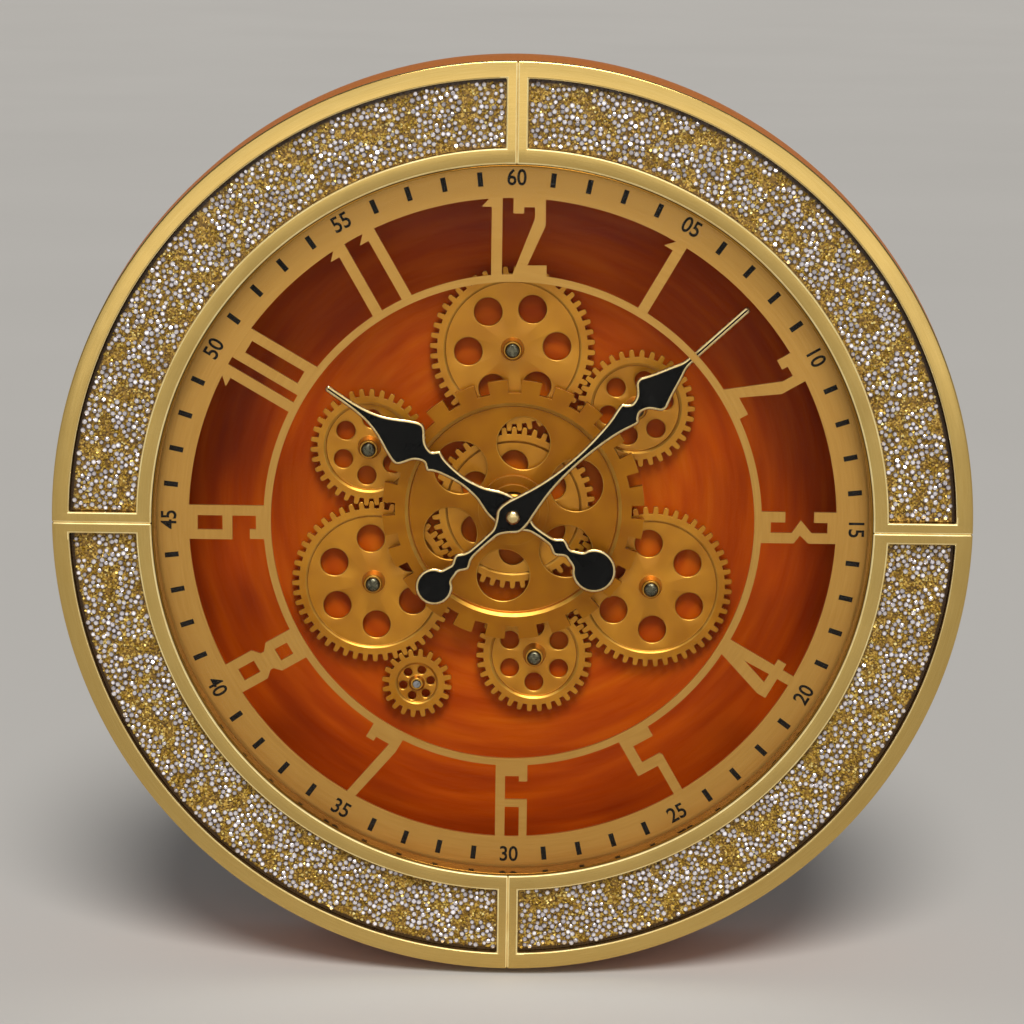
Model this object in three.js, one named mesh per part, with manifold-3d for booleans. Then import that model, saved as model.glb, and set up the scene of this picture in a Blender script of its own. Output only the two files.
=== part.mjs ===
// Gear wall clock: a round wall clock with a jewelled gold bezel, an open skeleton dial,
// a pair of hands and a train of eight turning gears in front of an orange panel.
// Millimetres. +Z is up, -Y is the front, +X is to the viewer's right.
// The hands' axis runs along Y through the origin, which is the middle of the whole clock.
// A "depth" is measured back from the front of the bezel; an "angle" is in degrees,
// clockwise from 12 o'clock as seen from the front.
import * as THREE from 'three';
import { mergeVertices } from 'three/addons/utils/BufferGeometryUtils.js';
import ManifoldModule from 'manifold-3d';

const wasm = await ManifoldModule();
wasm.setup();

// Fits
const GAP = 0.3;                    // air left between two pieces that touch
const RUN_CLEARANCE = 0.3;          // radial play of a turning bore
const SCREW_CLEARANCE = 0.2;        // radial play round a screw shank
const PAST = 1;                     // how far a cutting tool runs past the face it opens
const MERGE = 1;                    // how far two lumps of one piece run into each other

// Overall size
const CASE_RADIUS = 300;
const CASE_FLARE = 4;               // how much wider the drum is at the wall
const CASE_DEPTH = 115;
const CASE_WALL = 6;

// Bezel, band by band from the outside in
const BEZEL_DEPTH = 12;
const BEZEL_EDGE_BEVEL = 1.5;
const OUTER_BAND = 9.5;
const CRYSTAL_CHANNEL = 44;
const INNER_BAND = 10.2;
const CRYSTAL_SINK = 4.5;           // crystal tray below the bezel front
const BEZEL_QUADRANTS = 4;
const QUADRANT_END_STRIP = 7;       // gold strip on each side of a seam

// Trim ring, glass and dial, one behind the other
const TRIM_WALL = 1.2;
const TRIM_LIP = 0.6;               // how far the trim ring starts below the bezel front
const FLANGE_LIP = 1.7;             // case material in front of the glass
const FLANGE_RIM = 4;               // case material behind the dial
const GLASS_LAP = 9.7;              // glass edge outside the bezel's inner edge
const GLASS_THICKNESS = 3;
const GLASS_SEAL = 0.7;             // air between the glass and the dial
const DIAL_LAP = 19.7;              // dial edge outside the bezel's inner edge
const DIAL_THICKNESS = 2;
const CHAPTER_WIDTH = 22.4;         // dial ring that shows inside the bezel
const NUMERAL_SPACE = 49.3;         // between the two dial rings
const THIN_RING_WIDTH = 4.9;
const DIAL_SCREWS = 4;
const DIAL_SCREW_FIRST_ANGLE = 45;

// Back panel
const PANEL_THICKNESS = 3;
const PANEL_LEDGE_WIDTH = 10;
const PANEL_LEDGE_THICKNESS = 5.7;
const PANEL_SCREWS = 4;
const PANEL_SCREW_FIRST_ANGLE = 45;

// Gear train. A "rise" is a height in front of the back panel.
const GEAR_MODULE = 2.265;
const LARGE_TEETH = 48;
const MEDIUM_TEETH = 34;
const PINION_TEETH = 20;
const ADDENDUM = 0.65 * GEAR_MODULE;
const DEDENDUM = 1.5 * GEAR_MODULE;
const TOOTH_BACKLASH = 1.1;
const TOOTH_FLANK_ANGLE = 20;
const GEAR_RISE = 10;
const GEAR_THICKNESS = 4.5;
const GEAR_RIM = 5.3;               // flat rim between the tooth roots and the recess
const HUB_RADIUS = 7.2;
const HUB_RISE = 18.5;
const LARGE_HOLE_RADIUS = 9.5;
const LARGE_HOLE_CIRCLE = 30;
const LARGE_RECESS = 1.6;
const MEDIUM_HOLE_RADIUS = 6.4;
const MEDIUM_HOLE_CIRCLE = 19.5;
const MEDIUM_RECESS = 2.8;
const PINION_HOLE_RADIUS = 2.9;
const PINION_HOLE_CIRCLE = 9.6;
const PINION_RECESS = 1.6;
const RECESS_DRAFT = 1.2;           // sloping of a recess wall
const GEAR_HOLES = 6;

// Where the gears sit: the direction from the gear each one meshes with
const TOP_DIRECTION = 359;
const LOWER_LEFT_DIRECTION = 241.1;
const LOWER_RIGHT_DIRECTION = 119.5;
const TOP_RIGHT_DIRECTION = 115;
const LEFT_DIRECTION = 358;
const BOTTOM_DIRECTION = 238.3;
const PINION_DIRECTION = 157;

// Axles of the outer gears
const AXLE_RADIUS = 3.5;
const AXLE_FLANGE_RADIUS = 9;
const AXLE_FLANGE_THICKNESS = 3;
const AXLE_SPIGOT_RADIUS = 3;
const AXLE_PROUD = 0.4;             // axle end in front of the hub, so the gear stays free

// Front wheel
const WHEEL_TEETH = 24;
const WHEEL_TIP_RADIUS = 89;
const WHEEL_TOOTH_HEIGHT = 8.7;
const WHEEL_RIM = 8;                // flat rim between the tooth roots and the recess
const WHEEL_GAP_SHARE = 0.41;       // gap width over tooth pitch
const WHEEL_RISE = 20.5;
const WHEEL_THICKNESS = 6.5;
const WHEEL_RECESS = 4.5;
const WHEEL_RECESS_DRAFT = 1.6;
const WHEEL_WINDOWS = 6;
const WHEEL_WINDOW_RADIUS = 18;
const WHEEL_WINDOW_CIRCLE = 46;
const WHEEL_WINDOW_ANGLE = 8;
const WHEEL_HUB_RADIUS = 23.8;
const WHEEL_HUB_RISE = 19.5;
const WHEEL_COLLAR_RADIUS = 18;
const WHEEL_COLLAR_RISE = 22;

// Centre stack, from the outside in
const CENTRE_HUB_RADIUS = 13;
const CENTRE_HUB_SET_BACK = 0.6;    // hub end behind the bush's end, so the gear stays free
const BUSH_RADIUS = 8;
const BUSH_FLANGE_RADIUS = 16;
const BUSH_FLANGE_THICKNESS = 3;
const BUSH_RISE = 24;
const NECK_RADIUS = 4.8;
const NECK_RISE = 30;
const NUT_ACROSS_FLATS = 19;
const NUT_THICKNESS = 4;
const HOUR_TUBE_RADIUS = 3;
const HOUR_TUBE_PROUD = 0.5;        // tube end in front of the hour hand
const MINUTE_SHAFT_RADIUS = 1.7;
const MINUTE_SHAFT_PROUD = 2;       // shaft end in front of the minute hand

// Hands, showing the rest time
const REST_HOUR = 10;
const REST_MINUTE = 8;
const HAND_THICKNESS = 2;
const HOUR_HAND_RISE = 40;
const HAND_SPACING = 6;             // from the hour hand's front to the minute hand's front
const HAND_HUB_RADIUS = 11.5;
const HAND_NECK = 2;                // half width of the thin necks
const MINUTE_LENGTH = 209;
const MINUTE_FLARE = 105;           // end of the flared neck
const MINUTE_FLARE_HALF = 8.3;
const MINUTE_NOTCH_HALF = 3.2;
const MINUTE_SPADE_WIDEST = 125;
const MINUTE_SPADE_HALF = 13.8;
const MINUTE_SPADE_END = 160;
const MINUTE_TAIL_COLLAR = 43;
const MINUTE_TAIL_COLLAR_HALF = 5.7;
const MINUTE_BULB_AT = 71;
const MINUTE_BULB_RADIUS = 12.5;
const HOUR_LENGTH = 151;
const HOUR_FLARE = 64;
const HOUR_FLARE_HALF = 7.3;
const HOUR_NOTCH_HALF = 3.9;
const HOUR_LEAF_WIDEST = 87;
const HOUR_LEAF_HALF = 15.8;
const HOUR_LEAF_END = 122;
const HOUR_TAIL_COLLAR = 38;
const HOUR_TAIL_COLLAR_HALF = 5;
const HOUR_BULB_AT = 66.5;
const HOUR_BULB_RADIUS = 14.8;
const HAND_TIP_HALF = 0.9;
const CAP_RADIUS = 4.8;
const CAP_HEIGHT = 4;               // cap front in front of the minute hand
const CAP_DOME = 2.4;
const CAP_SHOULDER_SHARE = 0.6;     // where the dome bends, over the cap's radius
const CAP_SHOULDER_DROP = 0.6;

// Dry cells, quartz movement and gear motor behind the panel
const CELL_RADIUS = 7;
const CELL_LENGTH = 50;
const CELL_TERMINAL_RADIUS = 2.6;
const CELL_TERMINAL_LENGTH = 1;
const BAY_CLEARANCE = 0.5;
const BAY_FLOOR = 2;
const MOVEMENT_WALL = 1.5;          // beside the battery bay
const MOVEMENT_SKIRT = 3;           // below the battery bay
const SHAFT_BORE_DEPTH = 4;         // blind bore for the shafts inside a housing
const KNOB_RADIUS = 6;
const KNOB_THICKNESS = 2.8;
const KNOB_STEM_RADIUS = 1.5;
const KNOB_STEM_LENGTH = 6;
const KNOB_OFFSET = 13;
const KNOB_WALL_CLEARANCE = 1.6;    // from the knob to the wall
const MOTOR_WALL = 3.5;             // beside and below the battery bay
const MOTOR_SHAFT_RADIUS = 2.5;
const PINION_HUB_RADIUS = 5;
const PINION_HUB_RISE = 12;
const MOTOR_SHAFT_PROUD = 1;        // shaft end in front of the pinion's hub

// Hanger bracket
const HANGER_DROP = 54;             // keyhole below the top of the case bore
const HANGER_WIDTH = 90;
const HANGER_BAND = 26;
const HANGER_SHEET = 2;
const HANGER_FOOT = 18;
const HANGER_REAR_CLEARANCE = 0.5;  // keyhole face in front of the wall
const KEYHOLE_HEAD_RADIUS = 5;
const KEYHOLE_SLOT_RADIUS = 2.4;
const KEYHOLE_RISE = 9;

// Screws
const GEAR_SCREW_HEAD_RADIUS = 5;
const GEAR_SCREW_HEAD = 2.6;
const GEAR_SCREW_SHANK_RADIUS = 1.8;
const GEAR_SCREW_LENGTH = 9;
const SMALL_SCREW_HEAD_RADIUS = 3.2;
const SMALL_SCREW_HEAD = 1.8;
const SMALL_SCREW_SHANK_RADIUS = 1.5;
const SMALL_SCREW_BITE = 3.7;       // shank length inside the case
const HANGER_SCREW_FLOOR = 1;       // panel left in front of a hanger screw
const HEAD_FLAT_SHARE = 0.7;        // flat middle of a screw head, over its radius

// Facets
const RING_SEGMENTS = 60;
const RECESS_SEGMENTS = 36;
const STACK_SEGMENTS = 24;
const HUB_SEGMENTS = 12;
const HOLE_SEGMENTS = 10;
const SCREW_SEGMENTS = 8;

const METAL = { metalness: 0.85, roughness: 0.35 };
const PLASTIC = { metalness: 0, roughness: 0.5 };
const GOLD = { color: 0xc9a557, ...METAL };
const GEAR_GOLD = { color: 0xa97c33, ...METAL };
const STEEL = { color: 0x8d9093, ...METAL };
const BLACK = { color: 0x141414, ...PLASTIC };
const CRYSTAL = { color: 0xb9b4a6, metalness: 0.2, roughness: 0.3 };
const COPPER = { color: 0x9a4a1c, metalness: 0.3, roughness: 0.4 };
const ORANGE = { color: 0xb8500f, metalness: 0.2, roughness: 0.3 };
const CELL_SLEEVE = { color: 0x2c6b45, metalness: 0.4, roughness: 0.4 };
const DIAL_GOLD = { color: 0xb98f4c, ...METAL };
const WHITE = { color: 0xd8d8d2, ...PLASTIC };
const CLEAR = { color: 0xffffff, metalness: 0, roughness: 0.02, transparent: true, opacity: 0.15 };

const radians = THREE.MathUtils.degToRad;
const yAt = (depth) => depth - CASE_DEPTH / 2;
const polar = (radius, angle) => new THREE.Vector2(
  radius * Math.sin(radians(angle)),
  radius * Math.cos(radians(angle)),
);
const spread = (count, first = 0) => Array.from({ length: count }, (_, i) => first + (360 / count) * i);

const cut = (body, ...tools) => tools.reduce((left, tool) => left.subtract(tool), body);
const join = (...bodies) => bodies.reduce((left, right) => left.add(right));

// A closed mesh for the boolean kernel
function solid(geometry) {
  const bare = geometry.index ? geometry.toNonIndexed() : geometry.clone();
  bare.deleteAttribute('normal');
  bare.deleteAttribute('uv');
  const merged = mergeVertices(bare, 1e-4);
  return new wasm.Manifold(new wasm.Mesh({
    numProp: 3,
    vertProperties: new Float32Array(merged.attributes.position.array),
    triVerts: new Uint32Array(merged.index.array),
  }));
}

// A flat outline, drawn as seen from the front, extruded between two depths
function plate(outline, front, rear, holes = []) {
  const shape = new THREE.Shape(outline);
  const geometry = new THREE.ExtrudeGeometry(shape, { depth: rear - front, bevelEnabled: false });
  geometry.rotateX(Math.PI / 2);
  geometry.translate(0, yAt(rear), 0);
  return cut(solid(geometry), ...holes.map((hole) => plate(hole, front - PAST, rear + PAST)));
}

// A closed [radius, depth] profile turned about the Y axis through (x, z)
function turned(profile, segments, at = new THREE.Vector2()) {
  const points = profile.map(([radius, depth]) => new THREE.Vector2(radius, yAt(depth)));
  if (THREE.ShapeUtils.isClockWise(points)) points.reverse();
  points.push(points[0].clone());
  const geometry = new THREE.LatheGeometry(points, segments);
  geometry.translate(at.x, 0, at.y);
  return solid(geometry);
}

const tube = (inner, outer, front, rear, segments, at) => turned(
  [[inner, front], [outer, front], [outer, rear], [inner, rear]],
  segments,
  at,
);

function circle(radius, segments, at = new THREE.Vector2()) {
  return spread(segments).map((angle) => polar(radius, angle).add(at));
}

const rod = (radius, front, rear, segments, at) => plate(circle(radius, segments, at), front, rear);

function rectangle(left, right, bottom, top) {
  return [[left, bottom], [right, bottom], [right, top], [left, top]].map((p) => new THREE.Vector2(...p));
}

const box = (left, right, bottom, top, front, rear) => (
  plate(rectangle(left, right, bottom, top), front, rear)
);

const clock = new THREE.Group();
clock.name = 'gear_wall_clock';

function place(name, body, finish) {
  const mesh = body.getMesh();
  const geometry = new THREE.BufferGeometry();
  geometry.setAttribute('position', new THREE.BufferAttribute(new Float32Array(mesh.vertProperties), 3));
  geometry.setIndex(new THREE.BufferAttribute(new Uint32Array(mesh.triVerts), 1));
  geometry.computeVertexNormals();
  const node = new THREE.Mesh(geometry, new THREE.MeshStandardMaterial(finish));
  node.name = name;
  clock.add(node);
}

// A pan-head screw: its head runs from the crown to the seat, its shank from there to the tip
function screw(at, headRadius, crown, seat, shankRadius, tip) {
  const head = [[0, crown], [headRadius * HEAD_FLAT_SHARE, crown], [headRadius, (crown + seat) / 2]];
  const neck = [[headRadius, seat], [shankRadius, seat], [shankRadius, tip], [0, tip]];
  return turned([...head, ...neck], SCREW_SEGMENTS, at);
}

// Radii, from the outside in
const boreRadius = CASE_RADIUS - CASE_WALL;
const crystalOuter = CASE_RADIUS - OUTER_BAND;
const crystalInner = crystalOuter - CRYSTAL_CHANNEL;
const bezelInner = crystalInner - INNER_BAND;
const glassRadius = bezelInner + GLASS_LAP;
const dialRadius = bezelInner + DIAL_LAP;
const chapterInner = bezelInner - CHAPTER_WIDTH;
const thinRingOuter = chapterInner - NUMERAL_SPACE;
const thinRingInner = thinRingOuter - THIN_RING_WIDTH;

// Depths of the front pieces, from the bezel back
const flangeFront = BEZEL_DEPTH + GAP;
const lipRear = flangeFront + FLANGE_LIP;
const glassFront = lipRear + GAP;
const glassRear = glassFront + GLASS_THICKNESS;
const dialFront = glassRear + GLASS_SEAL;
const dialRear = dialFront + DIAL_THICKNESS;
const dialSeat = dialFront - GAP;
const flangeRear = dialRear + FLANGE_RIM;

// Depths of the rear pieces, from the wall forward: knob, housings, panel
const bayRadius = CELL_RADIUS + BAY_CLEARANCE;
const knobFront = CASE_DEPTH - KNOB_WALL_CLEARANCE - KNOB_THICKNESS;
const housingRear = knobFront - GAP;
const bayFloor = housingRear - 2 * bayRadius;
const behindPanel = bayFloor - BAY_FLOOR;
const panelRear = behindPanel - GAP;
const panelFront = panelRear - PANEL_THICKNESS;
const above = (rise) => panelFront - rise;
const panelSeat = above(GAP);

// Screw places in the case
const ledgeFront = panelSeat - PANEL_LEDGE_THICKNESS;
const ledgeRadius = boreRadius - PANEL_LEDGE_WIDTH;
const dialScrewCircle = (glassRadius + dialRadius) / 2 + GAP;
const dialScrewPlaces = spread(DIAL_SCREWS, DIAL_SCREW_FIRST_ANGLE).map((a) => polar(dialScrewCircle, a));
const panelScrewCircle = boreRadius - PANEL_LEDGE_WIDTH / 2;
const panelScrewPlaces = spread(PANEL_SCREWS, PANEL_SCREW_FIRST_ANGLE).map((a) => polar(panelScrewCircle, a));
const smallScrewHole = SMALL_SCREW_SHANK_RADIUS + SCREW_CLEARANCE;
const dialScrewTip = dialSeat - SMALL_SCREW_BITE;
const panelScrewTip = panelSeat - SMALL_SCREW_BITE;

// Case: one drum with the front flange that carries the bezel, the glass and the dial
const drum = turned([
  [bezelInner, flangeFront],
  [CASE_RADIUS, flangeFront],
  [CASE_RADIUS + CASE_FLARE, CASE_DEPTH],
  [boreRadius, CASE_DEPTH],
  [boreRadius, panelSeat],
  [ledgeRadius, panelSeat],
  [ledgeRadius, ledgeFront],
  [boreRadius, ledgeFront],
  [boreRadius, flangeRear],
  [dialRadius + GAP, flangeRear],
  [dialRadius + GAP, dialSeat],
  [glassRadius + GAP, dialSeat],
  [glassRadius + GAP, lipRear],
  [bezelInner, lipRear],
], RING_SEGMENTS);
const caseHoles = [
  ...dialScrewPlaces.map((at) => rod(smallScrewHole, dialScrewTip - GAP, dialSeat + GAP, SCREW_SEGMENTS, at)),
  ...panelScrewPlaces.map((at) => (
    rod(smallScrewHole, panelScrewTip - GAP, panelSeat + GAP, SCREW_SEGMENTS, at)
  )),
];
place('case_drum', cut(drum, ...caseHoles), COPPER);

// Bezel: four gold quadrant frames, each round its own tray of crystals
const quadrantSpan = 360 / BEZEL_QUADRANTS;
const bezelRing = turned([
  [bezelInner, BEZEL_EDGE_BEVEL],
  [bezelInner + BEZEL_EDGE_BEVEL, 0],
  [CASE_RADIUS - BEZEL_EDGE_BEVEL, 0],
  [CASE_RADIUS, BEZEL_EDGE_BEVEL],
  [CASE_RADIUS, BEZEL_DEPTH],
  [bezelInner, BEZEL_DEPTH],
], RING_SEGMENTS);
const trayRing = (grow, front, rear) => tube(
  crystalInner - grow,
  crystalOuter + grow,
  front,
  rear,
  RING_SEGMENTS,
);

// The part of the plane between two seams, each side pulled in by a margin
function quadrant(first, margin, front, rear) {
  const reach = 2 * CASE_RADIUS;
  const corner = polar(margin * Math.SQRT2, first + quadrantSpan / 2);
  const sector = [0, quadrantSpan].map((turn) => polar(reach, first + turn).add(corner));
  const far = polar(2 * reach, first + quadrantSpan / 2);
  return plate([sector[1], far, sector[0], corner], front, rear);
}

spread(BEZEL_QUADRANTS).forEach((first, i) => {
  const frameBlank = bezelRing.intersect(quadrant(first, GAP / 2, -PAST, CASE_DEPTH));
  const openingRing = trayRing(0, -PAST, CASE_DEPTH);
  const opening = openingRing.intersect(quadrant(first, QUADRANT_END_STRIP, -PAST, CASE_DEPTH));
  place(`bezel_frame_${i + 1}`, cut(frameBlank, opening), GOLD);
  const tray = trayRing(-GAP, CRYSTAL_SINK, BEZEL_DEPTH);
  const trayShape = quadrant(first, QUADRANT_END_STRIP + GAP, -PAST, CASE_DEPTH);
  place(`crystal_panel_${i + 1}`, tray.intersect(trayShape), CRYSTAL);
});

const trimOuter = bezelInner - GAP;
place('inner_trim_ring', tube(
  trimOuter - TRIM_WALL,
  trimOuter,
  TRIM_LIP,
  lipRear,
  RING_SEGMENTS,
), GOLD);
place('glass', rod(glassRadius, glassFront, glassRear, RING_SEGMENTS), CLEAR);

// Dial: chapter ring, thin inner ring and the numerals that bridge them.
// Each figure is drawn upright on a grid with its foot at 0 and its head at FIGURE_HEIGHT,
// and is then scaled to span the space between the two rings.
const FIGURE_HEIGHT = 49.3;
const FIGURE_ROOT = 2;              // how far a figure runs into the rings
const STROKE = 7;
const BAR = 5.9;                    // thickness of the cross strokes on a ring
const FIGURE_HALF = 10.5;
const headBar = FIGURE_HEIGHT - BAR;
const headEnd = FIGURE_HEIGHT + FIGURE_ROOT;
const FLAG_REACH = 10;
const HOOK_DROP = 10;
const inner = FIGURE_HALF - STROKE;

const oneAt = (x) => [[
  [x - STROKE / 2, -FIGURE_ROOT], [x + STROKE / 2, -FIGURE_ROOT], [x + STROKE / 2, headEnd],
  [x - STROKE / 2 - 1, headEnd], [x - STROKE / 2 - 1, FIGURE_HEIGHT], [x - FLAG_REACH, headBar],
  [x - STROKE / 2, headBar],
]];
const twoAt = (x) => [[
  [x - FIGURE_HALF, headEnd], [x - FIGURE_HALF, FIGURE_HEIGHT - HOOK_DROP],
  [x - inner, FIGURE_HEIGHT - HOOK_DROP], [x - inner, headBar], [x + inner, headBar], [x + inner, 36],
  [x - FIGURE_HALF, 0], [x - FIGURE_HALF, -FIGURE_ROOT], [x + FIGURE_HALF + 1, -FIGURE_ROOT],
  [x + FIGURE_HALF + 1, BAR], [x - 1, BAR], [x + FIGURE_HALF, 31.5], [x + FIGURE_HALF, headEnd],
]];
const three = [[
  [-FIGURE_HALF, headEnd], [-FIGURE_HALF, 34.4], [-inner, 34.4], [-inner, headBar], [inner, headBar],
  [inner, 33], [-5, 25.7], [inner, 19.8], [inner, BAR], [-inner, BAR], [-inner, 15.4],
  [-FIGURE_HALF, 15.4], [-FIGURE_HALF, -FIGURE_ROOT], [FIGURE_HALF, -FIGURE_ROOT], [FIGURE_HALF, 21.4],
  [5.1, 25.4], [FIGURE_HALF, 31], [FIGURE_HALF, headEnd],
]];
const four = [[
  [-4.3, headEnd], [-4.3, FIGURE_HEIGHT], [-15, 15], [-15, 8.6], [0.2, 8.6], [0.2, -FIGURE_ROOT],
  [7.1, -FIGURE_ROOT], [7.1, 8.6], [11.7, 8.6], [11.7, 15], [7.1, 15], [7.1, headEnd],
], [[-0.4, 34], [-6.2, 15], [0.2, 15]]];
const five = [[
  [-FIGURE_HALF, headEnd], [-FIGURE_HALF, 22.6], [inner + 1, 22.6], [inner + 1, -FIGURE_ROOT],
  [FIGURE_HALF + 0.5, -FIGURE_ROOT], [FIGURE_HALF + 0.5, 28], [FIGURE_HALF - 1, 29.8], [-inner, 29.8],
  [-inner, headBar - 1], [FIGURE_HALF + 1, headBar - 1], [FIGURE_HALF + 1, headEnd],
]];
const six = [[
  [-9.3, headEnd], [-9.3, -FIGURE_ROOT], [-2.9, -FIGURE_ROOT], [-2.9, 20.5], [6.6, 20.5],
  [6.6, -FIGURE_ROOT], [12, -FIGURE_ROOT], [12, 25.8], [-2.9, 25.8], [-2.9, 41.9], [6.4, 41.9],
  [6.4, 38.3], [12, 38.3], [12, headEnd],
]];
const seven = [[
  [-FIGURE_HALF, headEnd], [-FIGURE_HALF, FIGURE_HEIGHT - HOOK_DROP], [-4.6, FIGURE_HEIGHT - HOOK_DROP],
  [-4.6, 42.6], [5.4, 42.6], [-2.6, 0], [-2.6, -FIGURE_ROOT], [4, -FIGURE_ROOT], [4, 0], [11.9, 40],
  [11.9, headEnd],
]];
const slot = (...sides) => rectangle(...sides).map((corner) => corner.toArray());
const eight = [[
  [-10.2, headEnd], [-10.2, 31], [-5.4, 27], [-5.4, 24.5], [-10.2, 20], [-10.2, -FIGURE_ROOT],
  [11.6, -FIGURE_ROOT], [11.6, 20], [7.4, 24.5], [7.4, 27], [11.6, 31], [11.6, headEnd],
], slot(-3.4, 5.3, BAR, 18), slot(-3.4, 5.3, 34, headBar)];
const nine = [[
  [-13, headEnd], [-13, 20.5], [3, 20.5], [3, BAR - 1], [-6, BAR - 1], [-6, 9], [-12.5, 9],
  [-12.5, -FIGURE_ROOT], [9.9, -FIGURE_ROOT], [9.9, headEnd],
], slot(-6.5, 3, 27, headBar)];
const zeroAt = (x) => [
  slot(x - 11.3, x + 11.3, -FIGURE_ROOT, headEnd),
  slot(x - 4.5, x + 4.5, BAR - 2, headBar),
];

// Head outward on the upper half of the dial, head inward on the lower half
const figuresOut = [
  [12, oneAt(-12.5)], [12, twoAt(8.5)], [1, oneAt(0.8)], [2, twoAt(0.2)], [3, three],
  [9, nine], [10, oneAt(-7.6)], [10, zeroAt(12.7)], [11, oneAt(-8.7)], [11, oneAt(13.1)],
];
const figuresIn = [[4, four], [5, five], [6, six], [7, seven], [8, eight]];
const DEGREES_PER_HOUR = 30;

const figureScale = NUMERAL_SPACE / FIGURE_HEIGHT;

function figure(hour, [outline, ...holes], headOutward) {
  const direction = hour * DEGREES_PER_HOUR;
  const seat = (points) => points.map(([x, y]) => {
    const rise = figureScale * y;
    const side = figureScale * (headOutward ? x : -x);
    const radius = headOutward ? thinRingOuter + rise : chapterInner - rise;
    return polar(radius, direction).add(polar(side, direction + 90));
  });
  return plate(seat(outline), dialFront, dialRear, holes.map(seat));
}

const dialRings = join(
  tube(chapterInner, dialRadius, dialFront, dialRear, RING_SEGMENTS),
  tube(thinRingInner, thinRingOuter, dialFront, dialRear, RING_SEGMENTS),
);
const dial = join(
  dialRings,
  ...figuresOut.map(([hour, strokes]) => figure(hour, strokes, true)),
  ...figuresIn.map(([hour, strokes]) => figure(hour, strokes, false)),
);
const dialHoles = dialScrewPlaces.map((at) => (
  rod(smallScrewHole, dialFront - PAST, dialRear + PAST, SCREW_SEGMENTS, at)
));
place('dial_plate', cut(dial, ...dialHoles), DIAL_GOLD);
dialScrewPlaces.forEach((at, i) => {
  const head = dialRear + GAP;
  const body = screw(
    at,
    SMALL_SCREW_HEAD_RADIUS,
    head + SMALL_SCREW_HEAD,
    head,
    SMALL_SCREW_SHANK_RADIUS,
    dialScrewTip,
  );
  place(`dial_screw_${i + 1}`, body, STEEL);
});

// Gear places: each gear sits at the meshing distance from the one it turns with
const pitchRadius = (teeth) => (GEAR_MODULE * teeth) / 2;
const gears = {
  centre: { teeth: LARGE_TEETH, at: new THREE.Vector2(), phase: 0 },
};
function meshWith(driver, teeth, direction) {
  const { teeth: driverTeeth, at, phase } = gears[driver];
  const distance = pitchRadius(driverTeeth) + pitchRadius(teeth);
  const driverPitches = ((direction - phase) * driverTeeth) / 360;
  const ownPitches = 0.5 - driverPitches;
  return {
    teeth,
    at: polar(distance, direction).add(at),
    phase: direction + 180 - (ownPitches * 360) / teeth,
  };
}
gears.top = meshWith('centre', LARGE_TEETH, TOP_DIRECTION);
gears.lower_left = meshWith('centre', LARGE_TEETH, LOWER_LEFT_DIRECTION);
gears.lower_right = meshWith('centre', LARGE_TEETH, LOWER_RIGHT_DIRECTION);
gears.top_right = meshWith('top', MEDIUM_TEETH, TOP_RIGHT_DIRECTION);
gears.left = meshWith('lower_left', MEDIUM_TEETH, LEFT_DIRECTION);
gears.bottom = meshWith('lower_right', MEDIUM_TEETH, BOTTOM_DIRECTION);
gears.pinion = meshWith('lower_left', PINION_TEETH, PINION_DIRECTION);
const outerGears = ['top', 'top_right', 'left', 'lower_left', 'lower_right', 'bottom'];

// Straight-flanked teeth, four corners each, thinned by half the backlash on both sides
function toothedOutline({ teeth, at, phase }) {
  const pitch = pitchRadius(teeth);
  const slope = Math.tan(radians(TOOTH_FLANK_ANGLE));
  const halfTooth = (Math.PI * GEAR_MODULE) / 4 - TOOTH_BACKLASH / 2;
  const corners = [
    [pitch - DEDENDUM, -halfTooth - DEDENDUM * slope],
    [pitch + ADDENDUM, -halfTooth + ADDENDUM * slope],
    [pitch + ADDENDUM, halfTooth - ADDENDUM * slope],
    [pitch - DEDENDUM, halfTooth + DEDENDUM * slope],
  ];
  return spread(teeth, phase).flatMap((angle) => corners.map(([radius, side]) => (
    polar(radius, angle + THREE.MathUtils.radToDeg(side / radius)).add(at)
  )));
}

const gearFront = above(GEAR_RISE);
const gearRear = gearFront + GEAR_THICKNESS;

// A gear disc: toothed rim, a web sunk below the rim and a ring of holes in the web
function gearDisc(gear, size) {
  const holes = spread(GEAR_HOLES, size.holeAngle).map((angle) => (
    circle(size.holeRadius, HOLE_SEGMENTS, polar(size.holeCircle, angle).add(gear.at))
  ));
  const disc = plate(toothedOutline(gear), gearFront, gearRear, holes);
  const web = gearFront + size.recess;
  const recessRadius = pitchRadius(gear.teeth) - DEDENDUM - GEAR_RIM;
  const sink = turned([
    [0, gearFront - PAST],
    [recessRadius, gearFront - PAST],
    [recessRadius, gearFront],
    [recessRadius - RECESS_DRAFT, web],
    [0, web],
  ], RECESS_SEGMENTS, gear.at);
  return cut(disc, sink);
}

const LARGE_SIZE = {
  holeRadius: LARGE_HOLE_RADIUS,
  holeCircle: LARGE_HOLE_CIRCLE,
  recess: LARGE_RECESS,
};
const MEDIUM_SIZE = {
  holeRadius: MEDIUM_HOLE_RADIUS,
  holeCircle: MEDIUM_HOLE_CIRCLE,
  recess: MEDIUM_RECESS,
};
const PINION_SIZE = {
  holeRadius: PINION_HOLE_RADIUS,
  holeCircle: PINION_HOLE_CIRCLE,
  recess: PINION_RECESS,
};
const holeAngles = {
  top: 26, lower_left: -4, lower_right: -3.5, top_right: 15, left: 5, bottom: 0, pinion: 20, centre: 0,
};
const boreOfAxle = AXLE_RADIUS + RUN_CLEARANCE;
const hubFront = above(HUB_RISE);
const axleEnd = hubFront - AXLE_PROUD;
const axleFlangeFront = panelSeat - AXLE_FLANGE_THICKNESS;
const gearHubRear = axleFlangeFront - GAP;
const gearScrewHead = axleEnd - GAP;
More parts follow.
